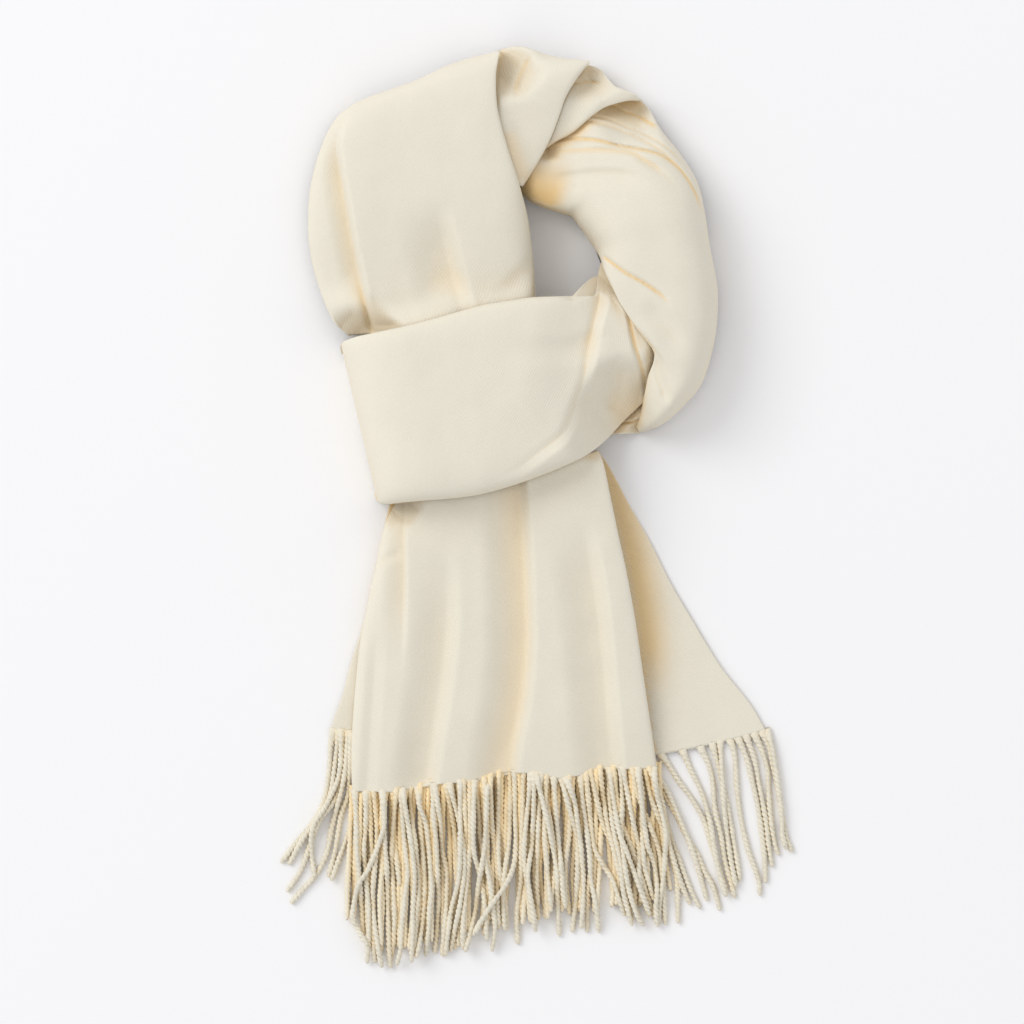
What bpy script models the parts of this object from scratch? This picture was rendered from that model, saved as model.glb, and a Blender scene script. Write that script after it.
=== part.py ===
"""A cream twill scarf with twisted fringe, doubled, pulled through its own loop and laid flat.

The scarf is 2.0 m long with its fringe and 0.70 m wide. It lies on the surface z = 0 and is seen
from above, with the neck loop towards +Y and the two tails towards -Y.

Every stretch of cloth that shows is a thin wall made from a short table of sections. The layers
inside each bundle are one rounded solid, fitted under the cloth above it, whose sides are stepped
like stacked folds. The fringe hangs from narrow strips, each parted from the cloth's edge.
"""
import math
from collections import namedtuple

import bmesh
import bpy
import numpy as np
from mathutils import Vector
from mathutils.bvhtree import BVHTree

MM = 0.001

CLOTH = 2.4              # wall of a stretch that shows: two layers of brushed cloth
BACK_TAIL_CLOTH = 3.0    # the back tail is doubled, and lies on the surface
COVER_CLEARANCE = 0.5    # between a stretch and the one that lies over it
CORE_CLEARANCE = 0.45    # between a bundle's inner layers and the cloth over them
PROBES = 7               # spots tried along each side of a cell when it is fitted under others
REACH = 1.5              # how far round each spot the cloth above it is felt for
LOWEST_FLAP = 3.0        # a covered flap's top is pressed no lower than this
LAYER_BULGE = 1.4        # how far one folded layer's edge stands out of the bundle
LAYER_PINCH = 0.2        # how far the groove between two layers does
STRAND_WIDTH = 3.2
STRAND_DEPTH = 3.0
STRAND_CELLS = 5
TIP_TAPER = 0.75
STRIP_GAP = 0.7          # between the cloth's edge and the strip that the fringe hangs from
STRIP_WIDTH = 2.0
STRIP_DEPTH = 2.2
# The bar's four edges: how far each is from the hem, and how far above the bar's middle.
STRIP_CORNERS = [(STRIP_GAP, -STRIP_DEPTH / 2), (STRIP_GAP, STRIP_DEPTH / 2),
                 (STRIP_GAP + STRIP_WIDTH, STRIP_DEPTH / 2), (STRIP_GAP + STRIP_WIDTH, -STRIP_DEPTH / 2)]

CREAM = (0.87, 0.81, 0.66)
SHADED_CREAM = (0.82, 0.75, 0.59)

# A line pressed into the cloth. Its trough is `left` wide on the left hand side of the way the
# points run and `right` wide on the other. A negative depth is a ridge. It fades in and out over
# these shares of its length.
Crease = namedtuple("Crease", "points left right depth fade_in fade_out")

# The stretches of cloth that show. Each row is a section, from one end of the stretch to the other:
# left edge x, left edge y, right edge x, right edge y, crown height, left rim and right rim height.
LEFT_OUTER = [
    (-124, 245, -116.5, 242.5, 16, 8, 14),
    (-129, 239, -117, 236, 22, 8, 18),
    (-135.5, 226, -118.5, 224, 25, 8, 20),
    (-141, 207.5, -117, 205, 26, 8, 20),
    (-143.5, 185, -113, 184, 26, 8, 19),
    (-142, 165, -109.5, 164, 25, 8, 18),
    (-138.5, 147.5, -106.5, 145, 24, 8, 18),
    (-133.5, 130, -103.5, 126, 23, 8, 17),
    (-126, 117, -99, 110, 22, 8, 16),
    (-119, 109, -95.5, 100, 20, 8, 14),
]
LEFT_PANEL = [
    (-116.5, 252.5, -23, 287, 12, 4, 4),
    (-118.5, 250, -23.5, 284.5, 28, 10, 14),
    (-121.5, 244.5, -24.5, 279, 39, 16, 26),
    (-124, 234.5, -26, 267.5, 45, 22, 34),
    (-124.5, 220, -24, 247.5, 48, 23, 37),
    (-122, 202.5, -18, 224, 50, 23, 36),
    (-118, 182.5, -11, 202.5, 50, 22, 30),
    (-114, 162.5, -5.5, 181, 50, 21, 18),
    (-110.5, 142.5, -2, 157.5, 48, 20, 12),
    (-106, 124, -1, 137, 45, 19, 10),
    (-101.5, 109, -0.5, 125, 42, 18, 10),
    (-99, 102.5, 0.5, 119, 40, 18, 10),
]
CROWN_FOLD = [
    (-20, 290, 34.5, 281, 12, 4, 4),
    (-20, 285.5, 34, 279, 27, 12, 16),
    (-25, 279, 29.5, 274, 36, 22, 26),
    (-32, 267.5, 23.5, 265.5, 41, 27, 31),
    (-31.5, 254, 18, 255.5, 42, 28, 33),
    (-28, 240, 14, 244, 40, 26, 32),
    (-23, 226, 8.5, 230, 34, 20, 27),
    (-18, 212.5, 0.5, 215, 26, 15, 21),
    (-14, 201, -8.5, 201, 18, 12, 15),
]
CROWN_TURN = [
    (28, 272, 6, 225, 24, 12, 18),
    (34.5, 276, 12, 229, 30, 8, 22),
    (40.5, 275, 23, 235, 33, 7, 25),
    (44.5, 269.5, 33.5, 244, 34, 7, 26),
    (48.5, 265, 42, 250, 33, 7, 26),
    (55.5, 262.5, 50.5, 253, 30, 8, 24),
    (61.5, 260, 58, 254.5, 24, 11, 20),
    (66, 257, 64.5, 255.5, 17, 12, 14),
]
SHOULDER_OUTER = [
    (56, 257, 32, 237.5, 20, 6, 16),
    (64.5, 254.5, 42, 236, 23, 6, 18),
    (71, 250.5, 53.5, 232.5, 25, 6, 19),
    (76, 243, 66, 227.5, 26, 6, 19),
    (80.5, 232.5, 77, 220.5, 25, 6, 18),
    (89.5, 222.5, 84.5, 212.5, 23, 6, 17),
    (98, 212.5, 92, 203.5, 21, 6, 16),
    (103.5, 200, 98, 193.5, 19, 6, 15),
    (106, 186, 101.5, 187.5, 14, 5, 12),
]
SHOULDER_INNER = [
    (27, 245, 18.5, 226, 28, 16, 22),
    (36, 245.5, 28.5, 224.5, 31, 18, 24),
    (46.5, 242.5, 42, 222, 34, 19, 26),
    (59.5, 237, 58.5, 219, 35, 19, 26),
    (72, 230, 71, 214, 35, 19, 25),
    (83.5, 223, 82, 206, 33, 18, 24),
    (92, 214.5, 89.5, 197.5, 31, 16, 22),
    (99, 203, 96, 187.5, 28, 13, 20),
    (103.5, 187.5, 99, 176, 22, 9, 16),
]
RIGHT_BUNDLE = [
    (-12, 201, 2, 226, 15, 12, 13),
    (-7, 196, 10.5, 229, 22, 12, 18),
    (2, 190, 19.5, 230.5, 32, 8, 24),
    (12, 187, 33.5, 230.5, 40, 8, 30),
    (20.5, 184.5, 50.5, 227, 46, 8, 34),
    (24.5, 180, 68, 223, 50, 8, 34),
    (29, 174, 83, 216, 52, 8, 32),
    (33.5, 167.5, 94.5, 204.5, 53, 8, 29),
    (37, 162.5, 102, 186, 53, 8, 22),
    (39, 160, 108, 164.5, 53, 10, 10),
    (40.5, 158, 112, 139.5, 53, 14, 8),
    (41, 156, 114, 122.5, 52, 20, 8),
    (41.5, 154.5, 113.5, 109, 50, 24, 8),
]
RIGHT_END = [
    (45.5, 151, 106, 121, 42, 18, 24),
    (47, 145, 109.5, 113, 46, 21, 16),
    (49.5, 137, 112.5, 106.5, 48, 24, 8),
    (53.5, 129, 111, 98.5, 49, 26, 8),
    (59, 119, 108, 89, 48, 24, 8),
    (68, 109, 104.5, 80.5, 46, 20, 8),
    (73, 99, 100.5, 73, 43, 18, 8),
    (73, 89, 96, 67.5, 40, 16, 8),
    (69.5, 80.5, 90.5, 62, 37, 15, 8),
    (68, 72.5, 84.5, 56, 33, 14, 7),
    (67, 65, 79, 52.5, 28, 12, 6),
    (66.5, 57.5, 73.5, 49.5, 22, 10, 5),
    (64.5, 52, 68, 48, 14, 7, 4),
]
INNER_STRAND = [
    (40.5, 156, 48.5, 150, 32, 20, 20),
    (39.5, 147.5, 53.5, 141, 36, 22, 22),
    (39.5, 137.5, 56, 130.5, 42, 30, 18),
    (37, 125, 60, 116.5, 48, 38, 17),
    (34, 110, 63.5, 102, 54, 44, 16),
    (31.5, 94, 66, 88, 58, 47, 15),
    (28.5, 78, 65.5, 75, 60, 48, 12),
    (24, 64.5, 63, 64, 61, 50, 8),
    (19.5, 52.5, 57, 57, 61, 51, 8),
    (16, 45, 48.5, 48, 61, 51, 10),
    (8.5, 41, 39.5, 38, 60, 51, 27),
    (-0.5, 34.5, 30.5, 32, 59, 50, 36),
    (-9, 27.5, 18.5, 23, 58, 49, 37),
    (-18.5, 21, 5.5, 15.5, 59, 53, 39),
    (-28, 16, -10.5, 10, 61, 57, 44),
    (-36.5, 12.5, -24, 7.5, 61.5, 59, 50),
]
BAND = [
    (42, 132.5, 42, 49, 40, 30, 30),
    (34.5, 132.5, 33.5, 42.5, 44, 34, 34),
    (24.5, 131, 22, 35, 50, 38, 38),
    (11.5, 130.5, 7, 27, 54, 42, 42),
    (-4, 130, -10.5, 19, 58, 44, 40),
    (-23, 128, -28, 11, 60, 46, 37),
    (-44.5, 122.5, -46.5, 5.5, 61, 47, 37),
    (-66.5, 115, -63, 4.5, 60, 47, 37),
    (-85.5, 111, -75.5, 4, 58, 46, 36),
    (-100.5, 109, -84, 2.5, 53, 42, 30),
    (-110.5, 107, -89.5, 2, 46, 34, 22),
    (-117, 106, -94, 2, 37, 24, 14),
    (-122, 104.5, -97, 2.5, 26, 14, 8),
    (-125.5, 102.5, -99.5, 4.5, 14, 6, 4),
    (-126.5, 100, -101, 5.5, 3, 1.5, 1.5),
]
LOOP_PEEK = [
    (19.5, 130, 19.5, 122.5, 28, 14, 26),
    (24, 134, 25.5, 122.5, 34, 12, 32),
    (29, 139, 31, 122.5, 36, 10, 33),
    (34.5, 143, 36.5, 123.5, 36, 10, 32),
    (39.5, 144.5, 41, 125.5, 28, 10, 26),
]
FRONT_TAIL = [
    (-88, 3.5, 39, 36, 37, 6, 29),
    (-91.5, -2.5, 42.5, 26, 37, 6, 27),
    (-96.5, -15, 46, 9, 35, 6, 24),
    (-101, -36, 51, -15, 32, 6, 23),
    (-106, -59, 56.5, -40, 29, 6, 21),
    (-111, -85.5, 62, -70, 26, 6, 18),
    (-114, -114, 66.5, -100, 23, 6, 15),
    (-116, -142, 71, -130, 20, 6, 12),
    (-116.5, -164, 74, -150, 17, 6, 10),
    (-116, -178, 76, -164, 15, 6, 9),
]
BACK_TAIL = [
    (-92, 3, 39, 36, 3, 3, 3),
    (-94.5, -6, 47, 24, 3, 3, 3),
    (-99, -26, 58.5, 2, 3, 3, 3),
    (-104, -51, 71, -20, 3, 3, 3),
    (-110.5, -77.5, 84.5, -47, 3, 3, 3),
    (-116.5, -96, 98, -70, 3, 3, 3),
    (-122, -117.5, 116, -99.5, 3, 3, 3),
    (-127, -131, 134.5, -123, 3, 3, 3),
    (-129, -139, 144.5, -140, 3, 3, 3),
]
BACK_TAIL_HEM_SAG = 21   # how far the back hem's middle lies below the line between its corners

PANEL_CREASES = [
    Crease([(-63, 186), (-60, 161), (-54, 142), (-51, 118)], 20, 9, 5.0, 0.4, 0.0),
    Crease([(-10, 160), (-14, 145), (-22, 131), (-26, 120)], 10, 13, 3.5, 0.4, 0.0),
]
CROWN_CREASES = [
    Crease([(-15, 287), (-22, 278), (-27, 265), (-27, 250), (-23, 232), (-17, 214)], 9, 9, 6.0, 0.1, 0.1),
    Crease([(-1, 282), (-7, 275), (-11, 267), (-11, 257)], 6, 5, 4.5, 0.2, 0.3),
    Crease([(-22, 245), (-16, 228), (-10, 212)], 12, 16, 6.0, 0.3, 0.0),
]
TURN_CREASES = [
    Crease([(20, 265), (34, 267), (46, 267)], 3, 6, 2.0, 0.0, 0.3),
]
SHOULDER_CREASES = [
    Crease([(42, 253), (47, 251), (65, 244), (79, 235)], 3, 6, 2.5, 0.0, 0.2),
]
BUNDLE_CREASES = [
    Crease([(2, 215), (15, 205), (25, 207), (40, 207.5), (58, 206), (74, 197)], 6, 10, 2.5, 0.1, 0.4),
    Crease([(20, 222), (40, 223), (65, 218), (84, 204), (96, 192)], 5, 6, 2.0, 0.1, 0.3),
]
END_CREASES = [
    Crease([(52, 146), (62, 136), (77, 131), (85, 122)], 8, 6, 3.0, 0.2, 0.4),
    Crease([(71, 104), (77, 82), (82, 58)], 6, 7, -3.0, 0.3, 0.3),
    Crease([(98, 95), (94, 82), (86, 64)], 8, 9, 3.5, 0.4, 0.3),
]
STRAND_CREASES = [
    Crease([(53, 100), (51, 86), (50, 70), (49, 54)], 9, 7, 5.0, 0.4, 0.1),
]
BAND_CREASES = [
    Crease([(33, 99), (14, 98), (-8, 101)], 10, 8, 2.0, 0.0, 0.6),
]
TAIL_CREASES = [
    Crease([(-83, 8), (-83, -20), (-83, -57), (-80, -80)], 9, 3, 5.0, 0.0, 0.4),
    Crease([(-101, -36), (-84, -27)], 6, 6, 2.0, 0.2, 0.2),
    Crease([(-103, -70), (-105, -120), (-109, -178)], 6, 8, 2.0, 0.4, 0.0),
    Crease([(-63, -30), (-60, -70), (-57, -114), (-60, -145), (-73, -180)], 22, 6, 5.0, 0.3, 0.0),
    Crease([(-18, 12), (-11, -32), (-8, -70), (-10, -120), (-18, -176)], 26, 6, 7.0, 0.0, 0.0),
    Crease([(21, -32), (30, -82), (38, -132), (44, -172)], 20, 7, 5.0, 0.3, 0.0),
]

# The inner layers of the bundles: left edge x, left edge y, right edge x and right edge y.
LEFT_LAYERS = [
    (-115.5, 247, -26.5, 280),
    (-119, 237.5, -29, 261),
    (-121, 217.5, -27, 242.5),
    (-118.5, 192.5, -21, 220.5),
    (-129, 183, -14, 199),
    (-129, 167.5, -8.5, 179),
    (-127, 152, -5.5, 161),
    (-120, 136, -4, 145.5),
    (-109, 122.5, -3.5, 133),
    (-96.5, 109.5, -3, 121),
]
CROWN_LAYERS = [
    (-19, 279, -11, 206),
    (-9, 283, -5, 203),
    (5.5, 278, 2, 198),
    (22.5, 271, 11.5, 193),
    (34, 264.5, 19, 190.5),
    (44.5, 259, 25.5, 187.5),
    (57, 252, 33.5, 186),
    (67, 242.5, 46, 183),
    (75, 228, 61.5, 182),
    (83.5, 213.5, 75, 181),
    (88.3, 199.5, 83, 180),
    (90.3, 190, 88.3, 180),
]
RIGHT_LAYERS = [
    (32.5, 175, 102.5, 171),
    (38, 168, 105, 159),
    (47, 161, 107, 145),
    (54.5, 151, 106, 131),
    (58.5, 139, 103, 118),
    (63, 126, 102, 102),
    (68, 114, 102, 88.5),
    (76, 103, 98.5, 80.5),
    (77.5, 94, 95, 75),
    (74.5, 82.5, 90, 68.5),
    (72, 74, 84.5, 62),
    (71, 66, 78.5, 57),
]
KNOT_LAYERS = [
    (-119, 92, -96, 10),
    (-109, 94, -83, 12),
    (-94.5, 96, -66.5, 16),
    (-73, 100, -51, 20),
    (-48, 105, -35.5, 24),
    (-23, 109, -19.5, 27.5),
    (1, 113, -4, 31.5),
    (14.5, 121, 10.5, 35),
    (27, 124, 24, 38.5),
    (37, 126, 33.5, 42),
    (43.5, 122, 40, 46.5),
    (48.5, 112, 45.5, 52.5),
    (53, 99, 51, 59),
    (57, 84, 57, 65),
]
TAIL_LAYERS = [
    (-84, 0, 33, 28.5),
    (-90.5, -14, 40, 10),
    (-95, -35.5, 45.5, -15),
    (-100, -59, 51, -40.5),
    (-105, -85.5, 57, -71),
    (-108.5, -114, 61, -100),
    (-110.5, -142, 65.5, -130),
    (-111, -174, 70.5, -160),
]

# A stretch of cloth: its sections, the cells of its grid, its creases and how square its arch is.
Stretch = namedtuple("Stretch", "rows across along creases squareness")
STRETCHES = {
    "left_outer": Stretch(LEFT_OUTER, 8, 11, [], 3.0),
    "left_panel": Stretch(LEFT_PANEL, 14, 14, PANEL_CREASES, 4.5),
    "crown_fold": Stretch(CROWN_FOLD, 12, 11, CROWN_CREASES, 4.0),
    "crown_turn": Stretch(CROWN_TURN, 9, 8, TURN_CREASES, 3.0),
    "shoulder_outer": Stretch(SHOULDER_OUTER, 7, 9, SHOULDER_CREASES, 3.0),
    "shoulder_inner": Stretch(SHOULDER_INNER, 7, 9, [], 3.0),
    "right_bundle": Stretch(RIGHT_BUNDLE, 12, 14, BUNDLE_CREASES, 3.0),
    "right_end": Stretch(RIGHT_END, 10, 12, END_CREASES, 2.6),
    "inner_strand": Stretch(INNER_STRAND, 8, 18, STRAND_CREASES, 2.6),
    "band": Stretch(BAND, 12, 16, BAND_CREASES, 4.5),
    "loop_peek": Stretch(LOOP_PEEK, 6, 5, [], 2.5),
    "front_tail": Stretch(FRONT_TAIL, 26, 12, TAIL_CREASES, 5.0),
}

# A bundle's inner layers: its sections, the cells of its grid, the height of its underside, and the
# folds that show round its sides.
Bundle = namedtuple("Bundle", "rows across along floor folds fold_height")
BUNDLES = {
    "left_layers": Bundle(LEFT_LAYERS, 9, 10, 0.0, 2, 3.2),
    "crown_layers": Bundle(CROWN_LAYERS, 8, 11, 0.0, 2, 3.2),
    "right_layers": Bundle(RIGHT_LAYERS, 6, 11, 0.0, 2, 3.2),
    "knot_layers": Bundle(KNOT_LAYERS, 7, 12, 0.0, 2, 3.2),
    # The tail's layers lie on the back tail and on the fringe that comes out from under them.
    "tail_layers": Bundle(TAIL_LAYERS, 11, 7, 3.8, 1, 1.8),
}

# Which stretches lie over which, in the order in which they are fitted.
COVERED_BY = [
    ("right_end", ["right_bundle"]),
    ("inner_strand", ["right_bundle", "right_end"]),
    ("band", ["inner_strand"]),
    ("left_panel", ["band"]),
    ("loop_peek", ["band", "inner_strand"]),
    ("left_outer", ["left_panel", "band"]),
    ("crown_fold", ["left_panel"]),
    ("crown_turn", ["crown_fold"]),
    ("right_bundle", ["crown_fold", "crown_turn"]),
    ("shoulder_inner", ["right_bundle", "crown_turn"]),
    ("shoulder_outer", ["shoulder_inner", "crown_turn", "right_bundle"]),
    ("front_tail", ["band", "inner_strand"]),
]

# Which share of each hem's width bears fringe. The under layers' hem is hidden, so it is a line.
FRONT_HEM_SHARE = (0.03, 0.97)
LEFT_HEM_SHARE = (0.012, 0.10)
RIGHT_HEM_SHARE = (0.76, 0.985)
UNDER_HEM = [(-100, -175.8, 4.8), (-20, -169.8, 4.8), (66, -163.1, 4.8)]

# Where the fringe's tips lie: evenly shared points along these lines.
FRONT_TIPS = [(-108, -287), (-98, -291), (-86, -289), (-70, -284), (-52, -279), (-28, -278),
              (-8, -272), (22, -269), (46, -264), (68, -261), (88, -259)]
UNDER_TIPS = [(-102, -262), (-80, -250), (-40, -262), (-10, -262), (30, -252), (80, -246)]
LEFT_BACK_TIPS = [(-160, -224), (-158, -241), (-141, -236), (-130, -241), (-124, -249)]
RIGHT_BACK_TIPS = [(100, -250), (116, -253), (127, -245), (143, -243), (150, -226), (160, -217)]

# A fringe: the line of its tips, how many strands it has, the height at which their middles lie
# and how far they sway to one side.
Fringe = namedtuple("Fringe", "tips strands rest sway")
FRINGES = {
    "front": Fringe(FRONT_TIPS, 24, 6.2, 2.0),
    "under": Fringe(UNDER_TIPS, 24, 1.9, 2.0),
    "back_left": Fringe(LEFT_BACK_TIPS, 6, 1.8, 0.5),
    "back_right": Fringe(RIGHT_BACK_TIPS, 12, 1.8, 0.5),
}


def spread(rows, count):
    """Sections evenly spaced along the smooth run through the table's rows."""
    rows = np.array(rows, dtype=float)
    padded = np.vstack([2 * rows[0] - rows[1], rows, 2 * rows[-1] - rows[-2]])
    place = np.linspace(0, len(rows) - 1, count)
    first = np.minimum(place.astype(int), len(rows) - 2)
    t = (place - first)[:, None]
    a, b, c, d = (padded[first + step] for step in range(4))
    return 0.5 * (2 * b + (c - a) * t + (2 * a - 5 * b + 4 * c - d) * t**2 + (3 * b - a - 3 * c + d) * t**3)


def trough(plan, crease):
    """How far a crease lowers the cloth at each point of the plan."""
    path = np.array(crease.points, dtype=float)
    steps = np.diff(path, axis=0)
    lengths = np.hypot(steps[:, 0], steps[:, 1])
    before = np.concatenate([[0], np.cumsum(lengths)])
    nearest = np.full(plan.shape[:-1], np.inf)
    side = np.ones(nearest.shape)
    along = np.zeros(nearest.shape)
    for start, step, length, done in zip(path, steps, lengths, before):
        offset = plan - start
        share = np.clip((offset @ step) / length**2, 0, 1)
        away = offset - share[..., None] * step
        distance = np.hypot(away[..., 0], away[..., 1])
        closer = distance < nearest
        nearest = np.where(closer, distance, nearest)
        side = np.where(closer, step[0] * away[..., 1] - step[1] * away[..., 0], side)
        along = np.where(closer, (done + share * length) / before[-1], along)
    width = np.where(side > 0, crease.left, crease.right)
    depth = crease.depth * np.clip(1 - (nearest / width)**2, 0, 1)**2
    for share, fade in ((along, crease.fade_in), (1 - along, crease.fade_out)):
        if fade > 0:
            ease = np.clip(share / fade, 0, 1)
            depth = depth * ease * ease * (3 - 2 * ease)
    return depth


def cloth_points(rows, across, along, creases=(), squareness=4.0, sag=0.0):
    """A grid of points over a stretch: its sections are flat-topped arches with rolled rims."""
    columns = spread(rows, along + 1).T[:, :, None]
    left_x, left_y, right_x, right_y, crown, left_rim, right_rim = columns
    t = (1 - np.cos(np.pi * np.arange(across + 1) / across)) / 2
    arch = (1 - np.abs(2 * t - 1)**squareness)**(1 / squareness)
    x = left_x + (right_x - left_x) * t
    y = left_y + (right_y - left_y) * t
    y = y - sag * np.linspace(0, 1, along + 1)[:, None]**2 * 4 * t * (1 - t)
    rim = left_rim + (right_rim - left_rim) * t
    z = rim + (crown - rim) * arch
    for crease in creases:
        z = z - trough(np.dstack([x, y]), crease) * arch
    return np.dstack([x, y, z])


def material(name, colour):
    cloth = bpy.data.materials.new(name)
    cloth.use_nodes = True
    shader = cloth.node_tree.nodes["Principled BSDF"]
    shader.inputs["Base Color"].default_value = (*colour, 1)
    shader.inputs["Roughness"].default_value = 0.95
    shader.inputs["Metallic"].default_value = 0.0
    return cloth


def add_object(name, bm, colour, collection):
    mesh = bpy.data.meshes.new(name)
    bm.to_mesh(mesh)
    bm.free()
    mesh.shade_smooth()
    mesh.materials.append(material(name + "_cloth", colour))
    piece = bpy.data.objects.new(name, mesh)
    collection.objects.link(piece)
    return piece


def grid_mesh(points):
    """A grid laid over the given points, with its faces turned up."""
    along, across = points.shape[0] - 1, points.shape[1] - 1
    bm = bmesh.new()
    bmesh.ops.create_grid(bm, x_segments=across, y_segments=along, size=1)
    for vert, point in zip(bm.verts, points.reshape(-1, 3)):
        vert.co = Vector(point) * MM
    bm.normal_update()
    if sum(face.normal.z * face.calc_area() for face in bm.faces) < 0:
        bmesh.ops.reverse_faces(bm, faces=bm.faces)
    return bm


def wall(name, points, collection, thickness=CLOTH, colour=CREAM):
    """One stretch of cloth: the grid is its outer side, thickened inwards."""
    piece = add_object(name, grid_mesh(points), colour, collection)
    solidify = piece.modifiers.new("cloth", "SOLIDIFY")
    solidify.thickness = thickness * MM
    solidify.offset = -1
    return piece


def surface_tree(pieces):
    """A search tree over finished pieces, in metres."""
    bpy.context.view_layer.update()
    graph = bpy.context.evaluated_depsgraph_get()
    joined = bmesh.new()
    for piece in pieces:
        joined.from_mesh(piece.evaluated_get(graph).to_mesh())
    tree = BVHTree.FromBMesh(joined)
    joined.free()
    return tree


def room_under(tree, x, y):
    """The lowest cloth over a spot and close round it, or infinity under open sky."""
    lowest = math.inf
    around = [(REACH * math.cos(k * math.pi / 3), REACH * math.sin(k * math.pi / 3)) for k in range(6)]
    for dx, dy in [(0, 0)] + around:
        hit = tree.ray_cast(Vector((x + dx, y + dy, -1)) * MM, Vector((0, 0, 1)))[0]
        if hit is not None:
            lowest = min(lowest, hit.z / MM)
    return lowest


def corner_weights(u, v):
    """How much each corner of a cell counts at a spot in it, for either way of halving the cell."""
    if u >= v:
        falling = [[1 - u, u - v], [0, v]]
    else:
        falling = [[1 - v, 0], [v - u, u]]
    if u + v <= 1:
        rising = [[1 - u - v, u], [v, 0]]
    else:
        rising = [[0, 1 - v], [1 - u, u + v - 1]]
    return np.array(falling), np.array(rising)


def pressed(points, tree, clearance, lowest):
    """The grid, pushed down to `lowest` at most wherever a cell would meet the cloth over it."""
    points = points.copy()
    shares = np.linspace(0, 1, PROBES)
    weights = [weight for v in shares for u in shares for weight in corner_weights(u, v)]
    for j, i in np.ndindex(points.shape[0] - 1, points.shape[1] - 1):
        plan, height = points[j:j + 2, i:i + 2, 0:2], points[j:j + 2, i:i + 2, 2]
        floor = lowest[j:j + 2, i:i + 2]
        for weight in weights:
            x, y = np.tensordot(weight, plan, axes=2)
            ceiling = room_under(tree, x, y) - clearance
            # Each turn either clears the spot or leaves one more corner lying on its floor.
            for _ in range(4):
                excess = np.sum(weight * height) - ceiling
                movable = np.where((height > floor) & (weight > 1e-6), weight, 0)
                if excess <= 0 or not movable.any():
                    break
                height[:] = np.maximum(height - excess * movable / np.sum(movable**2), floor)
    return points


def lay_under(piece, points, cover):
    """Refits a finished stretch under the stretches that cover it."""
    points = pressed(points, surface_tree(cover), COVER_CLEARANCE, np.minimum(points[..., 2], LOWEST_FLAP))
    for vert, point in zip(piece.data.vertices, points.reshape(-1, 3)):
        vert.co = Vector(point) * MM
    piece.data.update()
    return points


def inner_layers(name, bundle, tree, collection):
    """The rounded solid of a bundle's hidden layers, with stepped folds round its sides."""
    row = spread(bundle.rows, bundle.along + 1)
    even = np.linspace(0, 1, bundle.across + 1)
    # The columns stand closer together towards the sides, where the bundle falls away.
    t = 0.6 * (1 - np.cos(np.pi * even)) / 2 + 0.4 * even
    plan = row[:, None, 0:2] + (row[:, None, 2:4] - row[:, None, 0:2]) * t[None, :, None]
    step_top = bundle.floor + bundle.folds * bundle.fold_height
    lowest = np.full(plan.shape[:2], step_top + LAYER_PINCH)
    height = lowest.copy()
    for index in np.ndindex(height.shape):
        room = room_under(tree, *plan[index])
        if room < math.inf:
            height[index] = max(room, lowest[index])
    bm = grid_mesh(pressed(np.dstack([plan, height]), tree, CORE_CLEARANCE, lowest))

    def place(vert):
        return round(vert.co.x, 6), round(vert.co.y, 6)

    rim = [edge for edge in bm.edges if edge.is_boundary]
    outward = {}
    for edge in rim:
        middle = (edge.verts[0].co + edge.verts[1].co) / 2
        way = (edge.verts[1].co - edge.verts[0].co).cross(Vector((0, 0, 1)))
        if way.dot(middle - edge.link_faces[0].calc_center_median()) < 0:
            way.negate()
        for vert in edge.verts:
            outward[place(vert)] = outward.get(place(vert), Vector()) + way.normalized()
    # Down the side, each layer bulges out and is pinched in again under it.
    profile = [(step_top, 0.0)]
    for count in range(bundle.folds):
        for share, bulge in ((0.25, LAYER_BULGE), (0.75, LAYER_BULGE), (1.0, LAYER_PINCH)):
            profile.append((step_top - (count + share) * bundle.fold_height, bulge))
    bases = {vert: place(vert) for edge in rim for vert in edge.verts}
    for z, bulge in profile:
        grown = bmesh.ops.extrude_edge_only(bm, edges=rim)["geom"]
        below = {}
        for vert in [item for item in grown if isinstance(item, bmesh.types.BMVert)]:
            above = next(edge.other_vert(vert) for edge in vert.link_edges if edge.other_vert(vert) in bases)
            below[vert] = bases[above]
            vert.co = Vector((*bases[above], z * MM)) + outward[bases[above]].normalized() * bulge * MM
        bases = below
        rim = [item for item in grown if isinstance(item, bmesh.types.BMEdge) and item.is_boundary]
    bmesh.ops.contextual_create(bm, geom=rim)
    bmesh.ops.recalc_face_normals(bm, faces=bm.faces)
    return add_object(name, bm, SHADED_CREAM, collection)


def points_along(line, count):
    """Evenly spaced points along a line of points."""
    line = np.array(line, dtype=float)
    steps = np.hypot(*np.diff(line[:, :2], axis=0).T)
    place = np.concatenate([[0], np.cumsum(steps)])
    return np.column_stack([np.interp(np.linspace(0, place[-1], count), place, column) for column in line.T])


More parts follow.
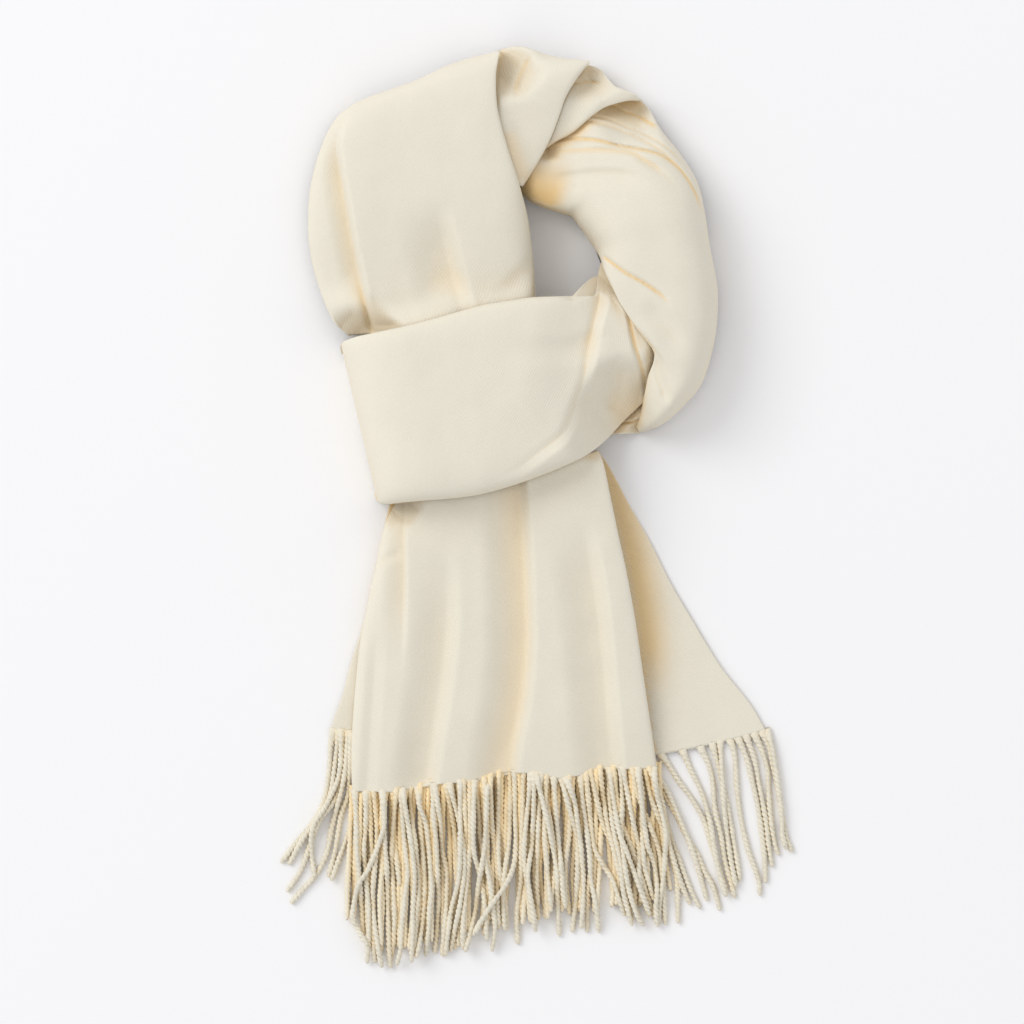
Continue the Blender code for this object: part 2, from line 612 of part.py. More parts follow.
def strip_mesh(hem, count):
    """A four-sided bar along a hem, with a short cell for each strand's root, and those cells' middles."""
    dense = points_along(hem, 400)
    slope = np.gradient(dense[:, :2], axis=0)
    slope /= np.hypot(*slope.T)[:, None]
    rows = [[], [], [], []]
    for root in points_along(hem, count):
        nearest = np.argmin(np.abs(dense[:, 0] - root[0]))
        run = slope[nearest]
        for side in (-0.5, 0.5):
            x = root[0] + side * STRAND_WIDTH * run[0]
            y, z, run_x, run_y = (np.interp(x, dense[:, 0], column)
                                  for column in (dense[:, 1], dense[:, 2], slope[:, 0], slope[:, 1]))
            for row, (away, rise) in zip(rows, STRIP_CORNERS):
                row.append((x + run_y * away, y - run_x * away, z + rise))
    bm = bmesh.new()
    # The grid's four rows are the bar's edges. The last side and the two ends close it.
    bmesh.ops.create_grid(bm, x_segments=2 * count - 1, y_segments=3, size=1)
    for vert, point in zip(bm.verts, sum(rows, [])):
        vert.co = Vector(point) * MM
    bm.verts.ensure_lookup_table()
    width = 2 * count
    for k in range(width - 1):
        bm.faces.new([bm.verts[k], bm.verts[k + 1], bm.verts[3 * width + k + 1], bm.verts[3 * width + k]])
    for k in (0, width - 1):
        bm.faces.new([bm.verts[row * width + k] for row in range(4)])
    bmesh.ops.recalc_face_normals(bm, faces=bm.faces)
    fronts = []
    for k in range(0, width, 2):
        corners = {bm.verts[row * width + k + step] for row in (2, 3) for step in (0, 1)}
        fronts.append(next(face for face in bm.verts[2 * width + k].link_faces if set(face.verts) == corners))
    return bm, fronts


def grow_strand(bm, face, end, rest, sway):
    """Extrudes a strand from the strip: out from the hem, down to its resting height, on to its tip."""
    corners = sorted(face.verts, key=lambda vert: (vert.co.z, vert.co.x))
    start = sum((vert.co for vert in corners), Vector()) / 4 / MM
    run = (corners[1].co - corners[0].co).normalized()
    out = Vector((run.y, -run.x))
    way = Vector(end) - start.xy
    cross = Vector((-way.y, way.x)).normalized()
    if cross.dot(run.xy) < 0:
        cross.negate()
    # Which way each corner lies from the strand's middle line, across and up.
    sides = {}
    for count, vert in enumerate(corners):
        sides[vert] = (-0.5 if count % 2 == 0 else 0.5, -0.5 if count < 2 else 0.5)
    for count in range(1, STRAND_CELLS + 1):
        # It leaves the hem square to it, bends over to its own way and is down after a third.
        s = (count / STRAND_CELLS)**1.3
        middle = start.xy + way * s + out * way.length * 0.5 * s * (1 - s)
        middle += cross * sway * math.sin(math.pi * s)
        z = rest + (start.z - rest) * max(0.0, 1 - s / 0.3)**2
        slim = TIP_TAPER if count == STRAND_CELLS else 1.0
        tip = bmesh.ops.extrude_discrete_faces(bm, faces=[face])["faces"][0]
        grown = {}
        for vert in tip.verts:
            old = min(sides, key=lambda other: (other.co - vert.co).length)
            grown[vert] = sides[old]
        for vert, (right, up) in grown.items():
            spot = middle + cross * right * STRAND_WIDTH * slim
            vert.co = Vector((*spot, z + up * STRAND_DEPTH * slim)) * MM
        sides, face = grown, tip


def fringe(name, hem, kind, collection):
    """Strands that hang from one narrow strip just outside a hem.

    `hem` is the line of the cloth's edge with the height of the strip's middle.
    """
    bm, fronts = strip_mesh(hem, kind.strands)
    for strand, (face, end) in enumerate(zip(fronts, points_along(kind.tips, kind.strands))):
        # Uneven, so that no two neighbours bend alike.
        grow_strand(bm, face, end, kind.rest, kind.sway * math.sin(2.4 * strand + 1.0))
    return add_object(name, bm, CREAM, collection)


def hem_line(points, start, stop, drop):
    """The line of a stretch's last section from one share of its width to another."""
    last = points[-1]
    share = (last[:, 0] - last[0, 0]) / (last[-1, 0] - last[0, 0])
    wanted = np.linspace(start, stop, 60)
    line = np.column_stack([np.interp(wanted, share, last[:, k]) for k in range(3)])
    line[:, 2] -= drop
    return line


def build():
    for thing in list(bpy.data.objects):
        bpy.data.objects.remove(thing, do_unlink=True)
    scarf = bpy.data.collections.new("cream_scarf")
    bpy.context.scene.collection.children.link(scarf)

    stretches = {}
    for name, stretch in STRETCHES.items():
        stretches[name] = cloth_points(stretch.rows, stretch.across, stretch.along, stretch.creases, stretch.squareness)
    walls = {name: wall(name, points, scarf) for name, points in stretches.items()}
    for name, covers in COVERED_BY:
        stretches[name] = lay_under(walls[name], stretches[name], [walls[cover] for cover in covers])
    back_points = cloth_points(BACK_TAIL, 14, 8, sag=BACK_TAIL_HEM_SAG)
    wall("back_tail", back_points, scarf, BACK_TAIL_CLOTH)

    tree = surface_tree(walls.values())
    for name, bundle in BUNDLES.items():
        inner_layers(name, bundle, tree, scarf)

    front_hem = hem_line(stretches["front_tail"], *FRONT_HEM_SHARE, CLOTH / 2)
    left_hem = hem_line(back_points, *LEFT_HEM_SHARE, BACK_TAIL_CLOTH / 2)
    right_hem = hem_line(back_points, *RIGHT_HEM_SHARE, BACK_TAIL_CLOTH / 2)
    fringe("front_fringe", front_hem, FRINGES["front"], scarf)
    fringe("under_fringe", UNDER_HEM, FRINGES["under"], scarf)
    fringe("back_fringe_left", left_hem, FRINGES["back_left"], scarf)
    fringe("back_fringe_right", right_hem, FRINGES["back_right"], scarf)


build()
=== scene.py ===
import math

import bmesh
import bpy
import numpy as np
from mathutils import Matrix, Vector, noise


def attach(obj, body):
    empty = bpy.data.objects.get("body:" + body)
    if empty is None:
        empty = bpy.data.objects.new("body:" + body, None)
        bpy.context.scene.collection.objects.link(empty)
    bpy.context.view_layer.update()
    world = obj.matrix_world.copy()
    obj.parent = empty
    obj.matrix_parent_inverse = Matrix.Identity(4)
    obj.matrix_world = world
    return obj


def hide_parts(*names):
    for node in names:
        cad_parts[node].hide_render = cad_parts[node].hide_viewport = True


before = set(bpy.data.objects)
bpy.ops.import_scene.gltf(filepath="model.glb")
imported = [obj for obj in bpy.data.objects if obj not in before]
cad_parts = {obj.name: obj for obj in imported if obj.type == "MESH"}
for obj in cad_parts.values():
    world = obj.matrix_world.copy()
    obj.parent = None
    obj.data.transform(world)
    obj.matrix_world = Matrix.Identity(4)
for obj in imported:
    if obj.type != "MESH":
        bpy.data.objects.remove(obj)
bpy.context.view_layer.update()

mm = 0.001                                # the tables below are in millimetres, or in pixels where they say so
photo = {"cell": 0.625, "middle": (536.5, 508.0)}       # millimetres to a pixel, and the pixel over the origin


def onPlan(spots):                        # pixels to millimetres
    return (np.array(spots, dtype=float) - photo["middle"]) * (photo["cell"], -photo["cell"])


# The camera looks straight down, from far enough that the folds' height hardly shifts them.
shot = {"height": 3.2, "width": 0.640, "level": 0.03, "middle": (-0.0153, -0.0025), "sensor": 36, "far": 20}


def placeCamera(shot):
    lens = bpy.data.cameras.new("aboveScarf")
    lens.sensor_width = shot["sensor"]
    lens.lens = shot["sensor"] * (shot["height"] - shot["level"]) / shot["width"]
    lens.clip_end = shot["far"]
    camera = bpy.data.objects.new("aboveScarf", lens)
    camera.location = (*shot["middle"], shot["height"])
    bpy.context.scene.collection.objects.link(camera)
    bpy.context.scene.camera = camera


placeCamera(shot)
bpy.context.scene.view_settings.view_transform = "Standard"
print("camera placed")


class Value:                              # a socket that can be used in sums
    def __init__(self, finish, node, out):
        self.finish, self.node, self.socket = finish, node, node.outputs[out]

    def other(self, out):
        return Value(self.finish, self.node, out)

    def sum(self, operation, *parts):
        return self.finish.add("ShaderNodeMath", {"operation": operation}, dict(enumerate(parts)))

    def __add__(self, other):
        return self.sum("ADD", self, other)

    def __sub__(self, other):
        return self.sum("SUBTRACT", self, other)

    def __rsub__(self, other):
        return self.sum("SUBTRACT", other, self)

    def __mul__(self, other):
        return self.sum("MULTIPLY", self, other)

    __radd__, __rmul__ = __add__, __mul__

    def sine(self):
        return self.sum("SINE", self)


class Finish:                             # one material and its nodes
    def __init__(self, name):
        self.material = bpy.data.materials.new(name)
        self.material.use_nodes = True
        self.tree = self.material.node_tree
        self.shader = self.tree.nodes["Principled BSDF"]

    def fill(self, node, inputs):
        for key, value in inputs.items():
            if isinstance(value, Value):
                self.tree.links.new(value.socket, node.inputs[key])
            else:
                node.inputs[key].default_value = value

    def add(self, kind, settings, inputs, out=0):
        node = self.tree.nodes.new(kind)
        for key, value in settings.items():
            setattr(node, key, value)
        self.fill(node, inputs)
        return Value(self, node, out)

    def blend(self, share, first, second):                  # 6, 7 and 2 are the mix's colour sockets
        return self.add("ShaderNodeMix", {"data_type": "RGBA"}, {0: share, 6: first, 7: second}, out=2)


def woolly(finish, look, shade, height):  # the colour and relief that twill and yarn share
    # a point attribute mixes the colour towards painted warm shade in creases and hollows
    paintedShade = finish.add("ShaderNodeAttribute", {"attribute_name": "paintedShade"}, {}, out="Fac")
    tint = finish.blend(paintedShade, look["cream"], look["warmShade"])
    colour = finish.add("ShaderNodeVectorMath", {"operation": "SCALE"}, {0: tint, "Scale": shade})
    bump = finish.add("ShaderNodeBump", {}, {"Strength": look["bump"], "Distance": look["relief"], "Height": height})
    finish.fill(finish.shader, {"Base Color": colour, "Roughness": look["roughness"], "Normal": bump,
                                "Specular IOR Level": 0.15, "Sheen Weight": 0.12, "Sheen Roughness": 0.5})
    return finish.material


twill = {
    "cream": (0.800, 0.752, 0.632, 1),
    "warmShade": (0.880, 0.635, 0.310, 1),   # the painted warm shade deep in a fold
    "pitch": 1.55 * mm,                   # from one twill line to the next
    "drift": 0.8, "driftScale": 90.0,     # how the lines stray
    "napSize": 1.0 * mm, "patchScale": 45.0,
    # the line shade is painted shade in the twill's grooves
    "lineShade": 0.03, "napShade": 0.1, "patchShade": 0.05,
    "lineHeight": 0.4, "napHeight": 1.1,
    "bump": 0.7, "relief": 0.26 * mm, "roughness": 0.92,
}


def twillFinish(name, lean):              # lean is the way the twill lines run on the weave's own map
    finish = Finish(name)
    spot = finish.add("ShaderNodeUVMap", {"uv_map": "weave"}, {})
    place = finish.add("ShaderNodeTexCoord", {}, {}, out="Object")
    apart = finish.add("ShaderNodeSeparateXYZ", {}, {0: spot})
    drift = finish.add("ShaderNodeTexNoise", {}, {"Vector": spot, "Scale": twill["driftScale"], "Detail": 2.0})
    nap = finish.add("ShaderNodeTexNoise", {}, {"Vector": place, "Scale": 1 / twill["napSize"], "Detail": 3.0,
                                                "Roughness": 0.6})
    patches = finish.add("ShaderNodeTexNoise", {}, {"Vector": place, "Scale": twill["patchScale"], "Detail": 3.0})
    across = math.cos(math.radians(lean)) / twill["pitch"]
    along = math.sin(math.radians(lean)) / twill["pitch"]
    turns = apart * across + apart.other("Y") * along + drift * twill["drift"]
    lines = (2 * math.pi * turns).sine() * 0.5 + 0.5
    # painted shade in the twill's grooves, and tone that varies at random with the nap and in patches
    shade = (1 + twill["lineShade"] * (lines - 0.5) + twill["napShade"] * (nap - 0.5)
             + twill["patchShade"] * (patches - 0.5))
    return woolly(finish, twill, shade, lines * twill["lineHeight"] + nap * twill["napHeight"])


yarn = {
    "cream": (0.845, 0.795, 0.665, 1),
    # the painted warm shade of strand roots, of the gaps between strands and of the ply notches
    "warmShade": (0.980, 0.790, 0.480, 1),
    "hairSize": 0.55 * mm, "hairShade": 0.12,
    "bump": 0.6, "relief": 0.22 * mm, "roughness": 0.9,
}


def yarnFinish(name):
    finish = Finish(name)
    place = finish.add("ShaderNodeTexCoord", {}, {}, out="Object")
    hair = finish.add("ShaderNodeTexNoise", {}, {"Vector": place, "Scale": 1 / yarn["hairSize"], "Detail": 3.0,
                                                 "Roughness": 0.65})
    return woolly(finish, yarn, 1 + yarn["hairShade"] * (hair - 0.5), hair)


twillFalling = twillFinish("creamTwillFalling", 35)
twillRising = twillFinish("creamTwillRising", -50)
yarnCream = yarnFinish("creamYarn")
print("finishes made")

cloth = {
    "thickness": 1.0, "clearance": 0.15,
    "rollRadius": 1.0, "rollTurns": (25, 55, 90, 125),      # how the side edges turn under, in degrees
    "pathSteps": 8, "warmShadeLeft": 3.0, "warmShadeRight": 1.5,  # a crease's points, and how fast its painted shade fades
    "endShare": 0.3, "lowRound": 2.0,                       # what an end's line bends, and a soft stop's length
    "softness": 0.5, "waves": (26, 34), "fineWaves": 2.3, "fineShare": 0.5,
    "steepest": 0.9, "roomSteps": 20,                       # how cloth bends down on its way under an edge
    "lean": 0.5, "reach": 28, "mostLift": 13, "smoothing": 36, "least": 3.0,
}

# Section columns: left x, left y, right x, right y, crown height, left rim height, right rim height.
# Crease columns: path, width on its left hand, width on its right hand, depth, fade in, fade out,
# how sharp its bottom is from 0 to 1, how much painted warm shade it gets from 0 to 1. A width of 0 keeps that side
# down.
panelEdge = [(350, 112), (340, 128), (336, 145), (338, 165), (344, 200), (351, 240), (360, 285), (371, 330),
             (375, 345)]
leftLoop = {
    "nodes": ("left_outer", "left_panel"), "cells": (150, 130), "square": 4.5, "twill": twillFalling, "pixels": True,
    "hug": 1.0, "shaded": 0.5,
    "sections": [
        (352, 104, 500, 48, 13, 4, 8),
        (346, 107, 500, 51, 31, 8, 27),
        (338, 114, 498, 62, 41, 8, 37),
        (330, 125, 496, 80, 46, 8, 41),
        (322, 142, 498, 112, 49, 8, 43),
        (315, 162, 508, 150, 50, 8, 42),
        (309, 188, 519, 184, 50, 8, 37),
        (307, 215, 528, 218, 49, 8, 20),
        (308, 243, 533, 256, 46, 8, 12),
        (313, 270, 535, 289, 42, 8, 10),
        (322, 298, 536, 308, 39, 8, 10),
        (333, 321, 537, 318, 37, 8, 10),
        (347, 334, 538, 328, 36, 8, 10),
    ],
    "brow": [(352, 106), (362, 98), (375, 92.5), (400, 84), (413, 80), (425, 74), (440, 66), (455, 60), (475, 54),
             (490, 50.5), (500, 48)],
    "creases": [
        (panelEdge, 5.0, 0, 15.0, 0.3, 0.0, 0.0, 0.0),
        (panelEdge, 2.0, 13.0, 4.0, 0.3, 0.0, 0.3, 0.3),
        ([(437, 196), (438, 218), (443, 242), (449, 266), (455, 290), (461, 312), (463, 324)],
         11, 28, 9.0, 0.5, 0.0, 0.2, 0.05),
        ([(560, 240), (532, 268), (510, 292), (490, 306)], 20, 10, 2.0, 0.0, 0.4, 0.0, 0.0),
    ],
}
crownFold = {
    "nodes": ("crown_fold",), "cells": (96, 96), "square": 4.0, "hug": 1.0, "shaded": 0.5,
    "sections": [
        (-31, 283.5, 33.5, 281, 12, 3, 8),
        (-33, 279, 33.5, 279, 29, 12, 21),
        (-37, 273, 29.5, 274, 37, 22, 29),
        (-40, 264, 23.5, 265.5, 40, 27, 33),
        (-39, 252, 18, 255.5, 40, 28, 35),
        (-35, 239, 14, 244, 38, 26, 35),
        (-29, 225.5, 8.5, 230, 36, 22, 33),
        (-23, 212.5, 0.5, 215, 32, 20, 29),
        (-17, 201, -8.5, 201, 26, 16, 23),
    ],
    "brow": [(-31, 283.5), (-25.9, 286.3), (-20.9, 289.4), (-14.7, 290.4), (-7.8, 289.6), (-0.9, 286.9), (7.2, 284.4),
             (17.8, 282.5), (27.2, 281.9), (34.7, 280.6)],
    "creases": [
        ([(-20.9, 291), (-23.4, 283), (-25.3, 274), (-26.6, 261), (-25.3, 249), (-22.8, 239)],
         4.5, 4, 4.0, 0.0, 0.4, 0.3, 0.5),
        ([(-2, 286), (-7, 277), (-11, 268.5), (-12.5, 260), (-11.5, 253)], 4.5, 4.5, 4.5, 0.25, 0.3, 0.4, 0.6),
        ([(-22, 240), (-16, 226), (-9, 208)], 16, 8, 2.0, 0.3, 0.0, 0.0, 0.35),
    ],
}
crownTurn = {
    "nodes": ("crown_turn",), "cells": (64, 80), "square": 4.0, "hug": 1.0, "shaded": 0.5,
    "sections": [
        (25, 277, 6, 225, 24, 14, 19),
        (32.5, 278.8, 12, 229, 30, 14, 24),
        (40.5, 275.5, 23, 235, 32, 13, 27),
        (44.5, 270, 33.5, 244, 33, 11, 29),
        (49.5, 264.8, 42, 250, 32, 9, 30),
        (56, 262, 50.5, 253, 31, 7, 29),
        (61.5, 259.5, 58, 254.8, 29, 8, 27),
        (65, 256.3, 63.5, 255, 25, 8, 23),
    ],
    "creases": [
        ([(16, 264), (21, 266), (33, 267.8), (45, 266)], 1.2, 5, 2.2, 0.0, 0.3, 0.6, 0.9),
        ([(24, 271), (30, 274), (36, 274), (41, 271)], 1.2, 3, 1.2, 0.1, 0.3, 0.6, 0.6),
    ],
}
rightRing = {
    "nodes": ("shoulder_outer", "shoulder_inner", "right_bundle", "right_end"), "cells": (130, 200), "square": 3.0,
    "pixels": True, "hug": 1.0, "shaded": 0.7,
    "sections": [
        (516, 186, 556, 118, 20, 12, 16),
        (522, 193, 578, 100, 25, 10, 18),
        (531, 200, 600, 88, 32, 8, 20),
        (542, 205, 622, 87, 37, 8, 20),
        (554, 209, 645, 100, 41, 8, 16),
        (564, 212, 662, 128, 45, 8, 10),
        (572, 215, 681, 152, 48, 8, 8),
        (579, 224, 698, 180, 51, 8, 8),
        (587, 235, 706, 212, 53, 8, 8),
        (595, 247, 711, 246, 53, 12, 8),
        (600, 258, 718, 282, 53, 28, 8),
        (604, 272, 719, 308, 52, 40, 8),
        (611, 287, 717, 332, 52, 45, 8),
        (620, 305, 712, 356, 51, 47, 8),
        (632, 323, 705, 378, 51, 47, 8),
        (645, 339, 697, 392, 50, 46, 8),
        (653, 350, 688, 402, 48, 44, 8),
        (653, 362, 678, 412, 45, 41, 8),
        (648, 376, 669, 420, 41, 37, 8),
        (645, 392, 660, 426, 35, 30, 7),
        (643, 406, 652, 429, 26, 18, 6),
        (640, 418, 646, 431, 18, 10, 5),
        (637, 427, 640, 432, 10, 5, 4),
    ],
    "creases": [
        ([(600, 103), (612, 103), (625, 109), (640, 115), (655, 124), (661, 129)],
         1.8, 4.5, 3.2, 0.0, 0.15, 0.5, 1.0),
        ([(588, 114), (610, 119), (625, 125), (640, 132), (655, 140), (668, 149), (680, 161), (688, 172)],
         1.6, 2, 1.8, 0.0, 0.2, 0.5, 0.5),
        ([(584, 119), (610, 125), (625, 131), (640, 138), (655, 147), (668, 157), (680, 170)],
         1.6, 3.5, 2.2, 0.0, 0.2, 0.5, 0.4),
        ([(545, 142), (556, 138), (575, 138), (595, 140), (620, 146), (650, 152), (665, 158), (680, 170), (692, 187),
          (700, 205), (702, 217)], 1.8, 3.5, 3.2, 0.0, 0.1, 0.6, 1.0),
        ([(530, 155), (550, 152), (570, 150), (600, 150), (630, 153), (645, 162), (660, 172), (680, 192), (690, 200)],
         2.5, 5, 1.8, 0.0, 0.4, 0.4, 0.5),
        ([(632, 154), (645, 163), (655, 170), (665, 180)], 4, 5, 1.2, 0.3, 0.4, 0.2, 0.1),
        ([(548, 182), (560, 179), (575, 177), (600, 175), (630, 178), (655, 192)], 5, 12, 2.2, 0.2, 0.4, 0.1, 0.0),
        # a deep crease with full painted shade where the crown fold shades the ring
        ([(572, 209), (548, 201), (530, 193), (510, 180)], 8, 36, 11.0, 0.35, 0.0, 0.0, 1.0),
        ([(599, 254), (609, 262), (625, 274), (641, 283), (653, 291), (663, 299), (672, 311)],
         2.2, 2.6, 2.6, 0.1, 0.3, 0.6, 1.0),
        ([(640, 300), (658, 318), (672, 338), (684, 360)], 9, 12, 2.4, 0.3, 0.4, 0.0, 0.0),
        ([(655, 356), (657, 374), (663, 390), (668, 408)], 5, 4, 2.4, 0.2, 0.3, 0.2, 0.0),
    ],
}
strandEdge = [(600, 276), (599, 300), (593, 325), (588, 350), (583, 380), (575, 405), (568, 425), (560, 437),
              (548, 446), (535, 456), (518, 469), (500, 478), (478, 486)]
strandLip = [(622, 306), (629, 320), (632, 333), (635, 347), (640, 362), (645, 380), (648, 396)]
band = {
    "nodes": ("band", "inner_strand"), "cells": (130, 200), "square": 5.0, "pixels": True,
    "hug": 0.9, "shaded": 0.6,
    "sections": [
        (604, 256, 613, 268, 24, 20, 22),
        (600, 266, 618, 286, 33, 24, 31),
        (598, 275, 630, 305, 38, 30, 34),
        (597, 284, 645, 328, 42, 34, 36),
        (596, 291, 660, 350, 45, 37, 36),
        (594, 296, 660, 376, 47, 40, 35),
        (588, 297, 645, 400, 49, 43, 34),
        (578, 297, 624, 421, 52, 43, 32),
        (565, 297, 605, 441, 54, 43, 33),
        (550, 297.5, 585, 456, 56, 43, 34),
        (530, 298.5, 560, 468, 58, 43, 35),
        (508, 302, 532, 479, 59, 44, 36),
        (484, 306, 505, 488, 59.5, 45, 37),
        (458, 313, 478, 495, 60, 46, 38),
        (430, 321, 452, 498.5, 60, 46, 38),
        (402, 328, 426, 500.5, 60, 46, 37),
        (378, 333, 404, 502.5, 57, 44, 34),
        (360, 336.5, 390, 504, 51, 39, 27),
        (350, 339, 382, 504, 42, 30, 18),
        (342, 342, 378, 502, 28, 18, 12),
        (340.5, 346, 376, 498, 12, 8, 8),
        (341, 350, 376, 494, 4, 3, 3),
    ],
    "creases": [
        (strandEdge, 7.0, 38.0, 5.0, 0.1, 0.5, 0.0, 0.0),
        (strandEdge, 1.5, 5.0, 1.2, 0.1, 0.5, 0.5, 0.15),
        (strandLip, 0, 3.5, 2.0, 0.2, 0.0, 0.2, 0.0),
        (strandLip, 1.5, 2.5, 1.5, 0.2, 0.0, 0.2, 0.9),
        ([(621, 362), (621, 380), (619, 394), (613, 412)], 7, 9, 3.5, 0.3, 0.1, 0.2, 0.2),
        ([(590, 342), (568, 351), (537, 350), (505, 346)], 12, 10, 1.8, 0.0, 0.6, 0.0, 0.0),
    ],
}
loopPeek = {
    "nodes": ("loop_peek",), "cells": (44, 40), "square": 2.5, "hug": 0.9, "shaded": 0.3,
    "sections": [
        (19.5, 130, 19.5, 122.5, 30, 18, 28),
        (24, 134.5, 25.5, 122.5, 37, 22, 35),
        (29, 139.5, 31, 122.5, 40, 24, 36),
        (34.5, 144, 36.5, 123.5, 38, 24, 33),
        (39.5, 146, 41, 125.5, 32, 22, 28),
    ],
    "creases": [],
}
endFolds = {
    "nodes": (), "cells": (40, 48), "square": 3.0, "pixels": True, "hug": 0.9, "shaded": 0.4,
    "sections": [
        (630, 396, 652, 388, 20, 14, 14),
        (622, 404, 652, 400, 20, 12, 13),
        (614, 414, 650, 411, 19, 10, 12),
        (608, 424, 648, 421, 17, 8, 9),
        (608, 431, 645, 429, 11, 5, 6),
        (612, 434, 640, 433, 5, 3, 3),
    ],
    "creases": [
        ([(612, 423), (622, 422), (632, 421.5), (646, 420)], 2, 2, 3.0, 0.0, 0.0, 0.6, 1.0),
        ([(626, 408), (636, 406), (648, 402)], 4, 3, 5.0, 0.0, 0.0, 0.4, 1.0),
    ],
}
frontTail = {
    "nodes": ("front_tail",), "cells": (170, 140), "square": 5.0, "hug": 0.6, "lowest": 6.5,
    "shaded": 0.4,
    "sections": [
        (-88, 3.5, 39, 36, 31, 6, 25),
        (-91.5, -2.5, 42.5, 26, 31, 6, 24),
        (-96.5, -15, 46, 9, 31, 6, 23),
        (-101, -36, 51, -15, 30, 6, 22),
        (-106, -59, 56.5, -40, 28, 6, 21),
        (-111, -85.5, 62, -70, 26, 6, 18),
        (-114, -114, 66.5, -100, 23, 6, 15),
        (-116, -142, 71, -130, 20, 6, 12),
        (-116.5, -164, 74, -150, 16, 6, 9),
        (-116, -178, 76, -164, 13, 5, 7),
    ],
    "hem": [(-116, -178.1), (-88.4, -178.8), (-79, -176.9), (-69.7, -175), (-57, -173), (-32, -172.5), (-26, -170),
            (-19.7, -166.2), (-1, -166.9), (14.7, -170), (33.4, -167.5), (39.7, -164.4), (76, -163.8)],
    "creases": [
        ([(-83.4, 10), (-83.4, -20), (-83.2, -45), (-84, -82), (-86, -105)], 3, 15, 4.0, 0.0, 0.5, 0.2, 0.2),
        ([(-101, -35.6), (-92.8, -31), (-84, -27.5)], 5, 6, 1.2, 0.2, 0.2, 0.3, 0.1),
        ([(-99.7, -57.5), (-102, -107.5), (-105.3, -157.5), (-106.6, -178)], 8, 7, 2.2, 0.4, 0.0, 0.3, 0.0),
        ([(-57.2, -14), (-57.2, -40), (-56.6, -70), (-60.3, -107.5), (-65.3, -139), (-70, -170)],
         10, 24, 7.5, 0.45, 0.0, 0.15, 0.1),
        ([(-13, 26), (-10.3, -7.5), (-8.4, -45), (-7.2, -82.5), (-10.3, -120), (-15.3, -145), (-18.4, -168)],
         8, 27, 10.0, 0.0, 0.0, 0.15, 0.35),
        ([(28, 0), (30.3, -20), (36.6, -57.5), (40.9, -95), (44.1, -132.5), (47.2, -165)],
         10, 26, 8.0, 0.35, 0.0, 0.15, 0.1),
    ],
}
backTail = {
    "nodes": ("back_tail",), "cells": (110, 90), "square": 6.0,
    "sections": [
        (-92, 3, 39, 36, 3.4, 2.4, 2.4),
        (-94.5, -6, 47, 24, 3.4, 2.4, 2.4),
        (-99, -26, 58.5, 2, 3.6, 2.4, 2.4),
        (-104, -51, 71, -20, 3.8, 2.4, 2.4),
        (-110.5, -77.5, 84.5, -47, 4.0, 2.4, 2.4),
        (-116.5, -96, 98, -70, 4.0, 2.4, 2.4),
        (-122, -117.5, 116, -99.5, 3.8, 2.4, 2.4),
        (-127, -131, 134.5, -123, 3.6, 2.4, 2.4),
        (-129, -139, 144.5, -140, 3.4, 2.4, 2.4),
    ],
    "sag": 21,
    "creases": [
        ([(70, -45), (95, -100), (118, -150)], 14, 22, 0.9, 0.2, 0.0, 0.2, 0.0),
        # a painted shadow of the front tail along the back tail, with hardly any depth
        ([(44, 30), (57, -20), (65, -57.5), (71, -107.5), (76, -160)], 34, 10, 0.3, 0.0, 0.4, 0.0, 0.85),
    ],
}
stretches = {
    "leftLoopCloth": leftLoop, "crownFoldCloth": crownFold, "crownTurnCloth": crownTurn,
    "rightRingCloth": rightRing, "bandCloth": band, "loopPeekCloth": loopPeek, "endFoldsCloth": endFolds,
    "frontTailCloth": frontTail, "backTailCloth": backTail,
}
# What covers each stretch, in the order in which they are fitted.
layOrder = [
    ("bandCloth", ["rightRingCloth"]),
    ("leftLoopCloth", ["bandCloth"]),
    ("crownFoldCloth", ["leftLoopCloth"]),
    ("crownTurnCloth", ["crownFoldCloth"]),
    ("rightRingCloth", ["crownFoldCloth", "crownTurnCloth"]),
    ("loopPeekCloth", ["bandCloth", "rightRingCloth"]),
    ("endFoldsCloth", ["bandCloth", "rightRingCloth"]),
    ("frontTailCloth", ["bandCloth"]),
]


def spread(rows, count):                  # sections evenly spaced along the smooth run through a table's rows
    rows = np.array(rows, dtype=float)
    padded = np.vstack([2 * rows[0] - rows[1], rows, 2 * rows[-1] - rows[-2]])
    place = np.linspace(0, len(rows) - 1, count)
    first = np.minimum(place.astype(int), len(rows) - 2)
    t = (place - first)[:, None]
    a, b, c, d = (padded[first + step] for step in range(4))
    return 0.5 * (2 * b + (c - a) * t + (2 * a - 5 * b + 4 * c - d) * t**2 + (3 * b - a - 3 * c + d) * t**3)


def lengthsAlong(line):                   # how far along a line each of its points is
    return np.concatenate([[0], np.cumsum(np.hypot(*np.diff(line, axis=0).T))])


def eased(share):                         # from 0 to 1 without a corner at either end
    share = np.clip(share, 0, 1)
    return share * share * (3 - 2 * share)


